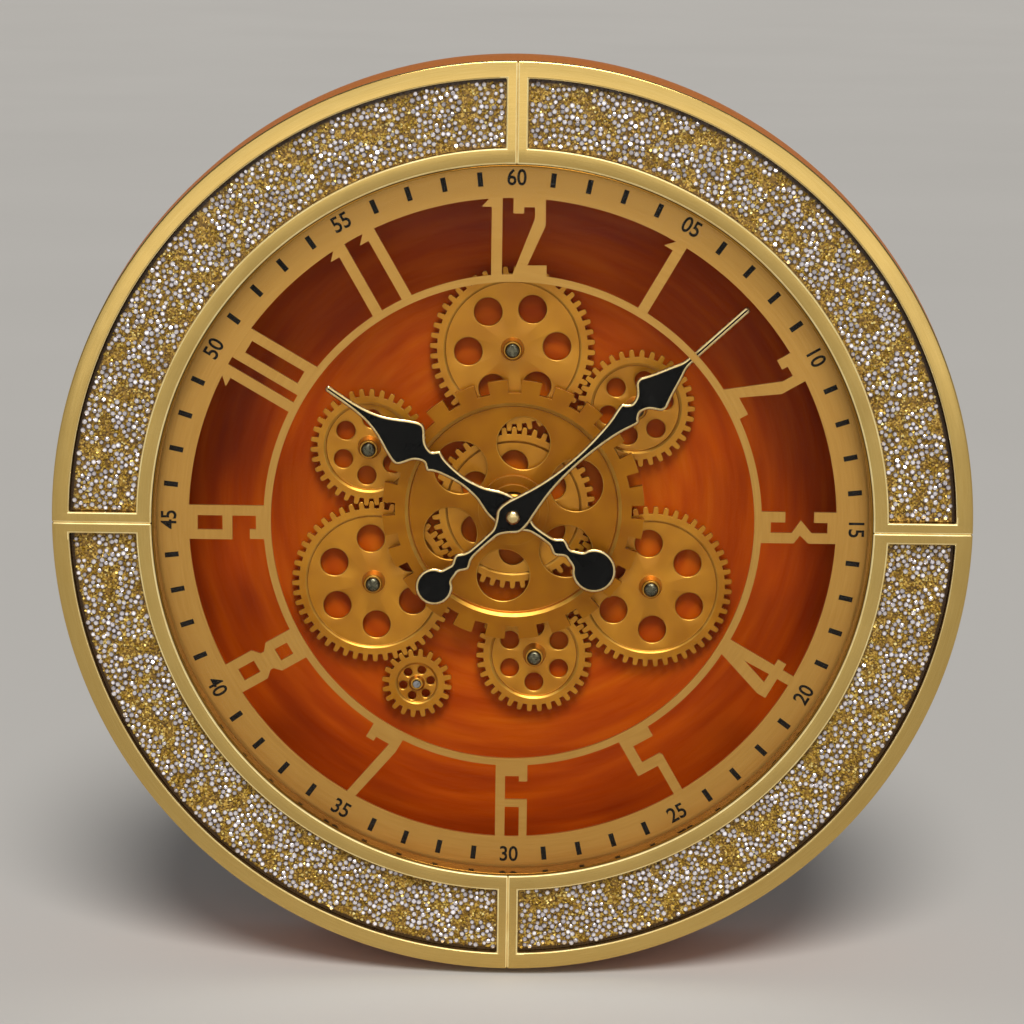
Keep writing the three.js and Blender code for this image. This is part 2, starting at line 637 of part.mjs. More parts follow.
const gearScrewTip = gearScrewHead + GEAR_SCREW_LENGTH;

for (const name of outerGears) {
  const gear = gears[name];
  const size = { ...(gear.teeth === LARGE_TEETH ? LARGE_SIZE : MEDIUM_SIZE), holeAngle: holeAngles[name] };
  const hub = rod(HUB_RADIUS, hubFront, gearHubRear, HUB_SEGMENTS, gear.at);
  const bore = rod(boreOfAxle, 0, CASE_DEPTH, HUB_SEGMENTS, gear.at);
  place(`gear_${name}`, cut(join(gearDisc(gear, size), hub), bore), GEAR_GOLD);

  const axle = turned([
    [0, axleEnd],
    [AXLE_RADIUS, axleEnd],
    [AXLE_RADIUS, axleFlangeFront],
    [AXLE_FLANGE_RADIUS, axleFlangeFront],
    [AXLE_FLANGE_RADIUS, panelSeat],
    [AXLE_SPIGOT_RADIUS, panelSeat],
    [AXLE_SPIGOT_RADIUS, panelRear],
    [0, panelRear],
  ], HUB_SEGMENTS, gear.at);
  const shankHole = rod(
    GEAR_SCREW_SHANK_RADIUS + SCREW_CLEARANCE,
    axleEnd - PAST,
    gearScrewTip + GAP,
    SCREW_SEGMENTS,
    gear.at,
  );
  place(`axle_${name}`, cut(axle, shankHole), STEEL);
  place(`gear_screw_${name}`, screw(
    gear.at,
    GEAR_SCREW_HEAD_RADIUS,
    gearScrewHead - GEAR_SCREW_HEAD,
    gearScrewHead,
    GEAR_SCREW_SHANK_RADIUS,
    gearScrewTip,
  ), STEEL);
}

// Motor pinion, pressed on the gear motor's shaft
const pinion = gears.pinion;
const pinionHubFront = above(PINION_HUB_RISE);
const motorBore = MOTOR_SHAFT_RADIUS + GAP;
const pinionHub = rod(PINION_HUB_RADIUS, pinionHubFront, gearRear, HUB_SEGMENTS, pinion.at);
const pinionBore = rod(motorBore, 0, CASE_DEPTH, HUB_SEGMENTS, pinion.at);
const pinionDisc = gearDisc(pinion, { ...PINION_SIZE, holeAngle: holeAngles.pinion });
place('gear_pinion', cut(join(pinionDisc, pinionHub), pinionBore), GEAR_GOLD);
const shaftEnd = behindPanel + SHAFT_BORE_DEPTH;
place('motor_shaft', rod(
  MOTOR_SHAFT_RADIUS,
  pinionHubFront - MOTOR_SHAFT_PROUD,
  shaftEnd,
  HUB_SEGMENTS,
  pinion.at,
), STEEL);

// Centre gear on its fixed bush, with the front wheel pressed on the gear's long hub
const bushFront = above(BUSH_RISE);
const bushFlangeFront = panelSeat - BUSH_FLANGE_THICKNESS;
const centreHubFront = bushFront + CENTRE_HUB_SET_BACK;
const centreHub = rod(CENTRE_HUB_RADIUS, centreHubFront, bushFlangeFront - GAP, STACK_SEGMENTS);
const centreBore = rod(BUSH_RADIUS + RUN_CLEARANCE, 0, CASE_DEPTH, STACK_SEGMENTS);
const centreDisc = gearDisc(gears.centre, { ...LARGE_SIZE, holeAngle: holeAngles.centre });
place('gear_centre', cut(join(centreDisc, centreHub), centreBore), GEAR_GOLD);

const wheelFront = above(WHEEL_RISE);
const wheelRear = wheelFront + WHEEL_THICKNESS;
const wheelRoot = WHEEL_TIP_RADIUS - WHEEL_TOOTH_HEIGHT;
const wheelRecessRadius = wheelRoot - WHEEL_RIM;
const wheelPitch = 360 / WHEEL_TEETH;
const wheelHalfGap = (wheelPitch * WHEEL_GAP_SHARE) / 2;
const wheelOutline = spread(WHEEL_TEETH).flatMap((angle) => [
  polar(wheelRoot, angle - wheelHalfGap),
  polar(wheelRoot, angle + wheelHalfGap),
  polar(WHEEL_TIP_RADIUS, angle + wheelHalfGap),
  polar(WHEEL_TIP_RADIUS, angle + wheelPitch - wheelHalfGap),
]);
const wheelWindows = spread(WHEEL_WINDOWS, WHEEL_WINDOW_ANGLE).map((angle) => (
  circle(WHEEL_WINDOW_RADIUS, STACK_SEGMENTS, polar(WHEEL_WINDOW_CIRCLE, angle))
));
const wheelWeb = wheelFront + WHEEL_RECESS;
const wheelSink = turned([
  [0, wheelFront - PAST],
  [wheelRecessRadius, wheelFront - PAST],
  [wheelRecessRadius, wheelFront],
  [wheelRecessRadius - WHEEL_RECESS_DRAFT, wheelWeb],
  [0, wheelWeb],
], RECESS_SEGMENTS);
const wheelHub = turned([
  [0, above(WHEEL_COLLAR_RISE)],
  [WHEEL_COLLAR_RADIUS, above(WHEEL_COLLAR_RISE)],
  [WHEEL_COLLAR_RADIUS, above(WHEEL_HUB_RISE)],
  [WHEEL_HUB_RADIUS, above(WHEEL_HUB_RISE)],
  [WHEEL_HUB_RADIUS, wheelRear],
  [0, wheelRear],
], STACK_SEGMENTS);
const wheelBore = rod(CENTRE_HUB_RADIUS + GAP, 0, CASE_DEPTH, STACK_SEGMENTS);
const wheelDisc = cut(plate(wheelOutline, wheelFront, wheelRear, wheelWindows), wheelSink);
place('front_wheel', cut(join(wheelDisc, wheelHub), wheelBore), GEAR_GOLD);

const neckBore = NECK_RADIUS + SCREW_CLEARANCE;
place('centre_bush', turned([
  [neckBore, bushFront],
  [BUSH_RADIUS, bushFront],
  [BUSH_RADIUS, bushFlangeFront],
  [BUSH_FLANGE_RADIUS, bushFlangeFront],
  [BUSH_FLANGE_RADIUS, panelSeat],
  [neckBore, panelSeat],
], STACK_SEGMENTS), STEEL);
const nutRear = bushFront - GAP;
const nutCorner = NUT_ACROSS_FLATS / Math.sqrt(3);
const nutBlank = rod(nutCorner, nutRear - NUT_THICKNESS, nutRear, 6);
const nutBore = rod(neckBore, 0, CASE_DEPTH, STACK_SEGMENTS);
place('movement_nut', cut(nutBlank, nutBore), GOLD);

// Quartz movement with its long neck, open at the back for the battery
const bayHalf = CELL_LENGTH / 2 + BAY_CLEARANCE;
const movementHalf = bayHalf + CELL_TERMINAL_LENGTH + MOVEMENT_WALL;
const movementBayDrop = movementHalf - MOVEMENT_SKIRT - bayRadius;
const boreOfHourTube = HOUR_TUBE_RADIUS + RUN_CLEARANCE;
const knobAt = new THREE.Vector2(KNOB_OFFSET, KNOB_OFFSET / 2);
const knobStemFront = knobFront - KNOB_STEM_LENGTH;

// A battery bay: a trough open to the rear
const bay = (x, z) => box(
  x - bayHalf,
  x + bayHalf + CELL_TERMINAL_LENGTH,
  z - bayRadius,
  z + bayRadius,
  bayFloor,
  CASE_DEPTH,
);

// A dry cell lying along X
function cell(x, z) {
  const cellDepth = bayFloor + bayRadius;
  const half = CELL_LENGTH / 2;
  const profile = [
    [0, -half], [CELL_RADIUS, -half], [CELL_RADIUS, half], [CELL_TERMINAL_RADIUS, half],
    [CELL_TERMINAL_RADIUS, half + CELL_TERMINAL_LENGTH], [0, half + CELL_TERMINAL_LENGTH],
  ].map((p) => new THREE.Vector2(...p));
  const geometry = new THREE.LatheGeometry([...profile, profile[0]], HUB_SEGMENTS);
  geometry.rotateZ(-Math.PI / 2);
  geometry.translate(x, yAt(cellDepth), z);
  return solid(geometry);
}

place('movement_housing', cut(
  join(
    box(-movementHalf, movementHalf, -movementHalf, movementHalf, behindPanel, housingRear),
    rod(NECK_RADIUS, above(NECK_RISE), behindPanel + MERGE, STACK_SEGMENTS),
  ),
  rod(boreOfHourTube, 0, shaftEnd + GAP, HUB_SEGMENTS),
  bay(0, -movementBayDrop),
  rod(KNOB_STEM_RADIUS + RUN_CLEARANCE, knobStemFront - GAP, CASE_DEPTH, HOLE_SEGMENTS, knobAt),
), BLACK);
place('movement_cell', cell(0, -movementBayDrop), CELL_SLEEVE);
place('time_set_knob', join(
  rod(KNOB_RADIUS, knobFront, knobFront + KNOB_THICKNESS, HUB_SEGMENTS, knobAt),
  rod(KNOB_STEM_RADIUS, knobStemFront, knobFront + MERGE, HOLE_SEGMENTS, knobAt),
), WHITE);

// Hands and their two arbors
const hourHandFront = above(HOUR_HAND_RISE);
const minuteHandFront = hourHandFront - HAND_SPACING;
const capFront = minuteHandFront - CAP_HEIGHT;
const shaftFront = minuteHandFront - MINUTE_SHAFT_PROUD;
const boreOfMinuteShaft = MINUTE_SHAFT_RADIUS + RUN_CLEARANCE;
place('hour_tube', tube(
  boreOfMinuteShaft,
  HOUR_TUBE_RADIUS,
  hourHandFront - HOUR_TUBE_PROUD,
  shaftEnd,
  HUB_SEGMENTS,
), GOLD);
place('minute_shaft', rod(MINUTE_SHAFT_RADIUS, shaftFront, shaftEnd, HOLE_SEGMENTS), STEEL);

// A hand is symmetric about its length: [distance from the axis, half width] from tail to tip
function hand(stations, bulbAt, bulbRadius, angle, front, boreRadius) {
  const right = stations.map(([along, half]) => polar(along, angle).add(polar(half, angle + 90)));
  const left = stations.map(([along, half]) => polar(along, angle).sub(polar(half, angle + 90)));
  const rear = front + HAND_THICKNESS;
  return cut(
    join(
      plate([...right, ...left.reverse()], front, rear),
      rod(HAND_HUB_RADIUS, front, rear, STACK_SEGMENTS),
      rod(bulbRadius, front, rear, STACK_SEGMENTS, polar(-bulbAt, angle)),
    ),
    rod(boreRadius, 0, CASE_DEPTH, HUB_SEGMENTS),
  );
}

const minuteAngle = REST_MINUTE * 6;
const hourAngle = (REST_HOUR + REST_MINUTE / 60) * DEGREES_PER_HOUR;
const COLLAR_LENGTH = 5;
const hubShoulder = HAND_HUB_RADIUS - 1;
const minuteStations = [
  [-MINUTE_BULB_AT, HAND_NECK * 2],
  [-MINUTE_TAIL_COLLAR - COLLAR_LENGTH, HAND_NECK * 1.8],
  [-MINUTE_TAIL_COLLAR, MINUTE_TAIL_COLLAR_HALF],
  [-MINUTE_TAIL_COLLAR + COLLAR_LENGTH, HAND_NECK],
  [-2 * HAND_HUB_RADIUS, HAND_NECK],
  [-HAND_HUB_RADIUS / 2, hubShoulder],
  [HAND_HUB_RADIUS / 2, hubShoulder],
  [2.5 * HAND_HUB_RADIUS, HAND_NECK * 1.8],
  [MINUTE_FLARE * 0.5, HAND_NECK * 0.9],
  [MINUTE_FLARE * 0.75, HAND_NECK * 1.5],
  [MINUTE_FLARE, MINUTE_FLARE_HALF],
  [MINUTE_FLARE + COLLAR_LENGTH / 2, MINUTE_NOTCH_HALF],
  [MINUTE_FLARE + 1.8 * COLLAR_LENGTH, MINUTE_NOTCH_HALF * 1.5],
  [MINUTE_SPADE_WIDEST - COLLAR_LENGTH, MINUTE_SPADE_HALF * 0.87],
  [MINUTE_SPADE_WIDEST, MINUTE_SPADE_HALF],
  [MINUTE_SPADE_WIDEST + COLLAR_LENGTH, MINUTE_SPADE_HALF * 0.8],
  [(MINUTE_SPADE_WIDEST + MINUTE_SPADE_END) / 2, MINUTE_SPADE_HALF * 0.42],
  [MINUTE_SPADE_END, HAND_TIP_HALF * 1.6],
  [MINUTE_LENGTH, HAND_TIP_HALF],
];
const hourStations = [
  [-HOUR_BULB_AT, HAND_NECK * 2],
  [-HOUR_TAIL_COLLAR - COLLAR_LENGTH, HAND_NECK * 1.7],
  [-HOUR_TAIL_COLLAR, HOUR_TAIL_COLLAR_HALF],
  [-HOUR_TAIL_COLLAR + COLLAR_LENGTH, HAND_NECK],
  [-2 * HAND_HUB_RADIUS, HAND_NECK],
  [-HAND_HUB_RADIUS / 2, hubShoulder],
  [HAND_HUB_RADIUS / 2, hubShoulder],
  [2.5 * HAND_HUB_RADIUS, HAND_NECK * 1.3],
  [HOUR_FLARE * 0.7, HAND_NECK * 1.2],
  [HOUR_FLARE * 0.88, HAND_NECK * 2],
  [HOUR_FLARE, HOUR_FLARE_HALF],
  [HOUR_FLARE + COLLAR_LENGTH, HOUR_NOTCH_HALF],
  [HOUR_FLARE + 1.9 * COLLAR_LENGTH, HOUR_NOTCH_HALF * 1.3],
  [HOUR_LEAF_WIDEST - COLLAR_LENGTH, HOUR_LEAF_HALF * 0.94],
  [HOUR_LEAF_WIDEST, HOUR_LEAF_HALF],
  [HOUR_LEAF_WIDEST + 1.6 * COLLAR_LENGTH, HOUR_LEAF_HALF * 0.74],
  [(HOUR_LEAF_WIDEST + HOUR_LEAF_END) / 2, HOUR_LEAF_HALF * 0.42],
  [HOUR_LEAF_END, HAND_NECK * 1.2],
  [HOUR_LENGTH, HAND_TIP_HALF],
];
place('minute_hand', hand(
  minuteStations,
  MINUTE_BULB_AT,
  MINUTE_BULB_RADIUS,
  minuteAngle,
  minuteHandFront,
  MINUTE_SHAFT_RADIUS + GAP,
), BLACK);
place('hour_hand', hand(
  hourStations,
  HOUR_BULB_AT,
  HOUR_BULB_RADIUS,
  hourAngle,
  hourHandFront,
  HOUR_TUBE_RADIUS + GAP,
), BLACK);
const capRear = minuteHandFront - GAP;
place('hand_cap', cut(
  turned([
    [0, capFront],
    [CAP_RADIUS * CAP_SHOULDER_SHARE, capFront + CAP_SHOULDER_DROP],
    [CAP_RADIUS, capFront + CAP_DOME],
    [CAP_RADIUS, capRear],
    [0, capRear],
  ], HUB_SEGMENTS),
  rod(MINUTE_SHAFT_RADIUS + GAP, shaftFront - GAP, CASE_DEPTH, HOLE_SEGMENTS),
), GOLD);

// Gear motor, a box like the movement with its own battery
const motorHalf = bayHalf + CELL_TERMINAL_LENGTH + MOTOR_WALL;
const motorBayAt = pinion.at.y - motorHalf + MOTOR_WALL + bayRadius;
place('gear_motor_housing', cut(
  box(
    pinion.at.x - motorHalf,
    pinion.at.x + motorHalf,
    pinion.at.y - motorHalf,
    pinion.at.y + motorHalf,
    behindPanel,
    housingRear,
  ),
  rod(MOTOR_SHAFT_RADIUS + RUN_CLEARANCE, 0, shaftEnd + GAP, HUB_SEGMENTS, pinion.at),
  bay(pinion.at.x, motorBayAt),
), BLACK);
place('motor_cell', cell(pinion.at.x, motorBayAt), CELL_SLEEVE);

// Hanger bracket: a hat-shaped strip on the back of the panel with the keyhole in its crown
const hangerRear = CASE_DEPTH - HANGER_REAR_CLEARANCE;
const hangerHeight = boreRadius - HANGER_DROP;
const hangerLow = hangerHeight - HANGER_BAND / 2;
const hangerHigh = hangerHeight + HANGER_BAND / 2;
const crownHalf = HANGER_WIDTH / 2 - HANGER_FOOT;
const hangerSection = join(
  box(-HANGER_WIDTH / 2, HANGER_WIDTH / 2, hangerLow, hangerHigh, behindPanel, behindPanel + HANGER_SHEET),
  box(-crownHalf, crownHalf, hangerLow, hangerHigh, behindPanel, hangerRear),
);
const hangerHollow = box(
  -crownHalf + HANGER_SHEET,
  crownHalf - HANGER_SHEET,
  hangerLow - PAST,
  hangerHigh + PAST,
  behindPanel - PAST,
  hangerRear - HANGER_SHEET,
);
const keyholeHead = new THREE.Vector2(0, hangerHeight - KEYHOLE_RISE / 2);
const keyholeTop = new THREE.Vector2(0, hangerHeight + KEYHOLE_RISE / 2);
const footMiddle = (HANGER_WIDTH - HANGER_FOOT) / 2;
const hangerScrewPlaces = [-1, 1].map((side) => new THREE.Vector2(side * footMiddle, hangerHeight));
place('hanger_bracket', cut(
  hangerSection,
  hangerHollow,
  rod(KEYHOLE_HEAD_RADIUS, hangerRear - 2 * HANGER_SHEET, CASE_DEPTH, HUB_SEGMENTS, keyholeHead),
  rod(KEYHOLE_SLOT_RADIUS, hangerRear - 2 * HANGER_SHEET, CASE_DEPTH, HUB_SEGMENTS, keyholeTop),
  box(
    -KEYHOLE_SLOT_RADIUS,
    KEYHOLE_SLOT_RADIUS,
    keyholeHead.y,
    keyholeTop.y,
    hangerRear - 2 * HANGER_SHEET,
    CASE_DEPTH,
  ),
  ...hangerScrewPlaces.map((at) => rod(smallScrewHole, behindPanel - PAST, CASE_DEPTH, SCREW_SEGMENTS, at)),
), STEEL);
hangerScrewPlaces.forEach((at, i) => {
  const head = behindPanel + HANGER_SHEET + GAP;
  const body = screw(
    at,
    SMALL_SCREW_HEAD_RADIUS,
    head + SMALL_SCREW_HEAD,
    head,
    SMALL_SCREW_SHANK_RADIUS,
    panelFront + HANGER_SCREW_FLOOR,
  );
  place(`hanger_screw_${i + 1}`, body, STEEL);
});

// Back panel with every hole that its neighbours need
const panel = rod(boreRadius - GAP, panelFront, panelRear, RING_SEGMENTS);
const panelHole = (radius, segments, at) => (
  rod(radius, panelFront - PAST, panelRear + PAST, segments, at)
);
const axleHole = AXLE_SPIGOT_RADIUS + SCREW_CLEARANCE;
place('back_panel', cut(
  panel,
  panelHole(neckBore, STACK_SEGMENTS),
  panelHole(MOTOR_SHAFT_RADIUS + RUN_CLEARANCE, HUB_SEGMENTS, pinion.at),
  ...outerGears.map((name) => panelHole(axleHole, HUB_SEGMENTS, gears[name].at)),
  ...panelScrewPlaces.map((at) => panelHole(smallScrewHole, SCREW_SEGMENTS, at)),
  ...hangerScrewPlaces.map((at) => panelHole(smallScrewHole, SCREW_SEGMENTS, at)),
), ORANGE);
panelScrewPlaces.forEach((at, i) => {
  const head = panelRear + GAP;
  const body = screw(
    at,
    SMALL_SCREW_HEAD_RADIUS,
    head + SMALL_SCREW_HEAD,
    head,
    SMALL_SCREW_SHANK_RADIUS,
    panelScrewTip,
  );
  place(`panel_screw_${i + 1}`, body, STEEL);
});

export default clock;
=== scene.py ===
# %% [markdown]
# # A gear wall clock
# A round wall clock: a gold bezel set with crystals, glass, an open dial with cut-out numerals,
# black hands, and a train of gold gears that turn in front of a glossy orange panel.
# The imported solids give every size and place. This lesson models the pieces that show over
# them, one after another, and gives each its finish.

# %% Load the frame
import math
import random

import bpy
from mathutils import Matrix, Vector, noise


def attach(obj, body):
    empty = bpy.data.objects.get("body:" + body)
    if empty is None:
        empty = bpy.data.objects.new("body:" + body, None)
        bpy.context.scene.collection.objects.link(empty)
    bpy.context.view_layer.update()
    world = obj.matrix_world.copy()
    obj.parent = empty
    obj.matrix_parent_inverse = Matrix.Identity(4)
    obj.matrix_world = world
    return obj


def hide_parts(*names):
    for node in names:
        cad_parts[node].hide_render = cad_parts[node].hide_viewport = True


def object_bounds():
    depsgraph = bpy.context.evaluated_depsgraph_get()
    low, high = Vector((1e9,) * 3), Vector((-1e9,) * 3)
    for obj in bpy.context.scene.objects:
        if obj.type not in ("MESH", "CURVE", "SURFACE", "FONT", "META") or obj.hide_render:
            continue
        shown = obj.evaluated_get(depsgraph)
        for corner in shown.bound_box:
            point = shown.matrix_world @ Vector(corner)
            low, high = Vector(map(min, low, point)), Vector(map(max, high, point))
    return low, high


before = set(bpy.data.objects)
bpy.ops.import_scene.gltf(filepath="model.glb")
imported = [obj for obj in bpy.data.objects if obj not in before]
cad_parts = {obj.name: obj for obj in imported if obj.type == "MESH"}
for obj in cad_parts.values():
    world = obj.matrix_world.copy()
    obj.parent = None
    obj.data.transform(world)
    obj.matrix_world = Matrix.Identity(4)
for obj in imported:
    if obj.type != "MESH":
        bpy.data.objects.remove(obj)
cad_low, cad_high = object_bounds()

scene = bpy.context.scene
scene.view_settings.view_transform = "Standard"

# %% [markdown]
# ## Sizes
# A maker reads a clock in millimetres: how far out from the middle, at which angle clockwise
# from twelve, and how deep behind the front of the bezel. Blender works in metres, so a few
# small helpers turn one into the other and the rest of the lesson stays in millimetres.

# %% Millimetres, angles and depths
MM = 0.001
CASE_DEPTH = 115.0
FULL_TURN = 2 * math.pi
ON_AXIS = (0.0, 0.0)


def at_depth(depth):
    """The Y of a depth behind the bezel's front, in metres."""
    return (depth - CASE_DEPTH / 2) * MM


def polar(radius, angle, centre=ON_AXIS):
    """The (across, up) place at a radius and an angle clockwise from twelve, in mm."""
    turn = math.radians(angle)
    return centre[0] + radius * math.sin(turn), centre[1] + radius * math.cos(turn)


def in_space(place, depth):
    """An (across, up) place in mm at a depth, as a point in metres."""
    return Vector((place[0] * MM, at_depth(depth), place[1] * MM))


def clock_point(radius, angle, depth, centre=ON_AXIS):
    """A point in metres from a radius, an angle clockwise from twelve, and a depth."""
    return in_space(polar(radius, angle, centre), depth)


print("bezel front at y =", round(at_depth(0), 4), "m, wall at", round(at_depth(CASE_DEPTH), 4), "m")

# %% [markdown]
# ## Camera
# The photograph looks slightly down on the clock from a little above its middle. A long lens
# keeps the rings nearly concentric, and a small shift frames the clock without tilting it more.

# %% Camera
CAMERA_PLACE = (0.0134, -1.9235, 0.331)
LOOK_DOWN = math.radians(11.06)
CAMERA_ROLL = math.radians(0.8)
SENSOR = 36
LENS = 101.8
SHIFT_ACROSS = -0.0196
SHIFT_UP = 0.066

look = Matrix.Rotation(math.radians(90) - LOOK_DOWN, 4, "X") @ Matrix.Rotation(CAMERA_ROLL, 4, "Z")
bpy.ops.object.camera_add(location=CAMERA_PLACE, rotation=look.to_euler())
camera = bpy.context.object
camera.name = "photo_camera"
camera.data.sensor_width = SENSOR
camera.data.lens = LENS
camera.data.shift_x = SHIFT_ACROSS
camera.data.shift_y = SHIFT_UP
scene.camera = camera
print("camera lens", LENS, "mm at", CAMERA_PLACE)

# %% [markdown]
# ## Finishes: the helpers
# A procedural finish is a Principled shader with a pattern wired into it. The pattern reads
# Object coordinates, so it stays on the piece when the piece turns. One group of helpers makes
# the pattern, and another turns it into colour, gloss or bump. A pattern is an output socket,
# and a socket knows the node tree that it belongs to, so the second group only needs the pattern.

# %% Patterns
FLAT = (1, 0, 1)


def paint(red, green, blue):
    """A colour as a painter names it, 0 to 255, made linear for the shader."""
    def linear(level):
        level = level / 255
        return level / 12.92 if level <= 0.04045 else ((level + 0.055) / 1.055) ** 2.4
    return (linear(red), linear(green), linear(blue), 1.0)


def wire(given, socket):
    """Links an output to a socket, or sets the socket where a plain value is given."""
    if isinstance(given, bpy.types.NodeSocket):
        socket.id_data.links.new(given, socket)
    else:
        socket.default_value = given


def feed(target, **inputs):
    """Wires a node's input sockets by name, From_Min for From Min."""
    for name, given in inputs.items():
        wire(given, target.inputs[name.replace("_", " ")])
    return target


def node(tree, kind, **inputs):
    return feed(tree.nodes.new("ShaderNode" + kind), **inputs)


def shader(tree):
    return tree.nodes["Principled BSDF"]


def new_finish(name, colour, metallic, roughness, **sockets):
    """A Principled material with its constants on the shader's own sockets."""
    material = bpy.data.materials.new(name)
    material.use_nodes = True
    constants = {"Base_Color": paint(*colour), "Metallic": metallic, "Roughness": roughness}
    feed(shader(material.node_tree), **constants, **sockets)
    return material


def reckon(kind, operation, first, *others):
    """The outputs of a Math or VectorMath node that is fed with outputs or plain values."""
    made = node(first.id_data, kind)
    made.operation = operation
    for given, socket in zip((first, *others), made.inputs):
        wire(given, socket)
    return made.outputs


def on_piece(material, stretch=(1, 1, 1)):
    """Object coordinates, stretched along X, Y and Z."""
    place = node(material.node_tree, "TexCoord").outputs["Object"]
    return node(material.node_tree, "Mapping", Vector=place, Scale=stretch).outputs["Vector"]


def off_axis(material):
    """The distance from the clock's axis, in metres."""
    return reckon("VectorMath", "LENGTH", on_piece(material, FLAT))["Value"]


def noise_at(place, scale, detail):
    return node(place.id_data, "TexNoise", Vector=place, Scale=scale, Detail=detail).outputs[0]


def object_noise(material, per_metre, detail=3.0, stretch=(1, 1, 1)):
    """Noise with about this many spots in a metre."""
    return noise_at(on_piece(material, stretch), per_metre, detail)


def ring_noise(material, along, across, detail=3.0):
    """Noise drawn out round the clock's axis, as a brush leaves it on a turning disc."""
    direction = reckon("VectorMath", "NORMALIZE", on_piece(material, FLAT))["Vector"]
    stroke = reckon("VectorMath", "MULTIPLY", direction, (along, along, along))["Vector"]
    spacing = reckon("Math", "MULTIPLY", off_axis(material), across)["Value"]
    lift = node(material.node_tree, "CombineXYZ", Y=spacing).outputs["Vector"]
    return noise_at(reckon("VectorMath", "ADD", stroke, lift)["Vector"], 1.0, detail)


print("pattern helpers ready")

# %% Colour, gloss and bump
NOISE_LOW = 0.3
NOISE_HIGH = 0.7


def colours(factor, *stops):
    """A colour ramp from stops of a position and a red, green and blue from 0 to 255."""
    ramp = node(factor.id_data, "ValToRGB", Fac=factor)
    elements = ramp.color_ramp.elements
    while len(elements) < len(stops):
        elements.new(0.5)
    for element, (position, *colour) in zip(elements, stops):
        element.position = position
        element.color = paint(*colour)
    return ramp.outputs["Color"]


def mixed(factor, first, second):
    """The first colour where the factor is 0 and the second where it is 1."""
    mix = node(factor.id_data, "Mix")
    mix.data_type = "RGBA"
    return feed(mix, Factor=factor, A=first, B=second).outputs["Result"]


def ranged(factor, start, end, low=0.0, high=1.0):
    """Maps the span from start to end on to low and high."""
    made = node(factor.id_data, "MapRange", Value=factor, From_Min=start, From_Max=end)
    return feed(made, To_Min=low, To_Max=high).outputs["Result"]


def spread(factor, low, high):
    """Maps the span in which most noise lies on to low and high."""
    return ranged(factor, NOISE_LOW, NOISE_HIGH, low, high)


def tint(factor, *stops):
    """Colours a finish by a pattern."""
    feed(shader(factor.id_data), Base_Color=colours(factor, *stops))


def gloss(factor, low, high):
    """Varies the roughness of a finish by a pattern."""
    feed(shader(factor.id_data), Roughness=spread(factor, low, high))


def press(height, strength, depth):
    """Presses a pattern into the surface as bump, this many mm deep."""
    bump = node(height.id_data, "Bump", Height=height, Strength=strength, Distance=depth * MM)
    feed(shader(height.id_data), Normal=bump.outputs["Normal"])


print("colour, gloss and bump helpers ready")

# %% [markdown]
# ## Golds
# The bezel is sheet metal with a fine brushing round the ring and a slight waviness that breaks
# up its reflections; its rounded inner edges get a paler gold as a painted highlight. The trim wall inside
# it is nearly a mirror. The dial is satin. The gears are castings in a duller antique gold, a
# little blotchy, and the front wheel is the darkest of them. The lips, hubs and sloping edges of the
# gears get a paler gold as a painted highlight. The edges of the hands are the palest gold.

# %% Golds
BEZEL_LIGHT = (223, 190, 115)
BEZEL_DEEP = (212, 177, 100)
bezel_gold = new_finish("bezel_gold", BEZEL_LIGHT, 1.0, 0.26)
brushing = ring_noise(bezel_gold, 14.0, 2600.0, 2.0)
tint(brushing, (0.3, *BEZEL_DEEP), (0.7, *BEZEL_LIGHT))
gloss(object_noise(bezel_gold, 30.0), 0.17, 0.26)
press(object_noise(bezel_gold, 9.0, 1.0), 0.16, 3.0)

trim_gold = new_finish("trim_gold", (150, 104, 40), 1.0, 0.1)
tint(object_noise(trim_gold, 12.0), (0.35, 134, 90, 30), (0.65, 166, 120, 49))
gloss(object_noise(trim_gold, 90.0), 0.06, 0.16)

DIAL_LIGHT = (206, 156, 78)
DIAL_DEEP = (197, 145, 68)
dial_gold = new_finish("dial_gold", DIAL_LIGHT, 0.75, 0.4)
satin = ring_noise(dial_gold, 9.0, 900.0)
tint(satin, (0.3, *DIAL_DEEP), (0.7, *DIAL_LIGHT))
gloss(satin, 0.32, 0.42)
press(satin, 0.12, 0.05)


def cast_gold(name, low, high, metallic=0.85, roughness=0.42, lacquer=0.5):
    """A gilt casting: blotchy in tone, uneven in gloss, under a thin lacquer."""
    gold = new_finish(name, high, metallic, roughness, Coat_Weight=lacquer, Coat_Roughness=0.24)
    tint(object_noise(gold, 60.0, 5.0), (0.32, *low), (0.66, *high))
    gloss(object_noise(gold, 240.0), roughness - 0.06, roughness + 0.06)
    press(object_noise(gold, 900.0), 0.2, 0.08)
    return gold


gear_gold = cast_gold("gear_gold", (193, 124, 14), (212, 143, 26))
wheel_gold = cast_gold("wheel_gold", (162, 96, 3), (181, 114, 6), lacquer=0.15)
# A paler gold for the gears' lips, hubs and sloping edges: a painted highlight.
gear_painted_highlight = cast_gold("gear_painted_highlight", (198, 141, 50), (217, 163, 70), 0.88, 0.37, lacquer=0.0)
# A paler gold for the bezel's rounded edges: a painted highlight.
bezel_painted_highlight = cast_gold("bezel_painted_highlight", (242, 214, 142), (254, 234, 170), 0.5, 0.4, lacquer=0.0)

bead_gold = new_finish("bead_gold", (246, 219, 160), 1.0, 0.24)
tint(object_noise(bead_gold, 150.0), (0.3, 232, 196, 128), (0.7, 250, 226, 172))
gloss(object_noise(bead_gold, 500.0), 0.2, 0.3)
golds = (bezel_gold, bezel_painted_highlight, trim_gold, dial_gold, gear_gold, wheel_gold, gear_painted_highlight, bead_gold)
print("golds:", *(gold.name for gold in golds))
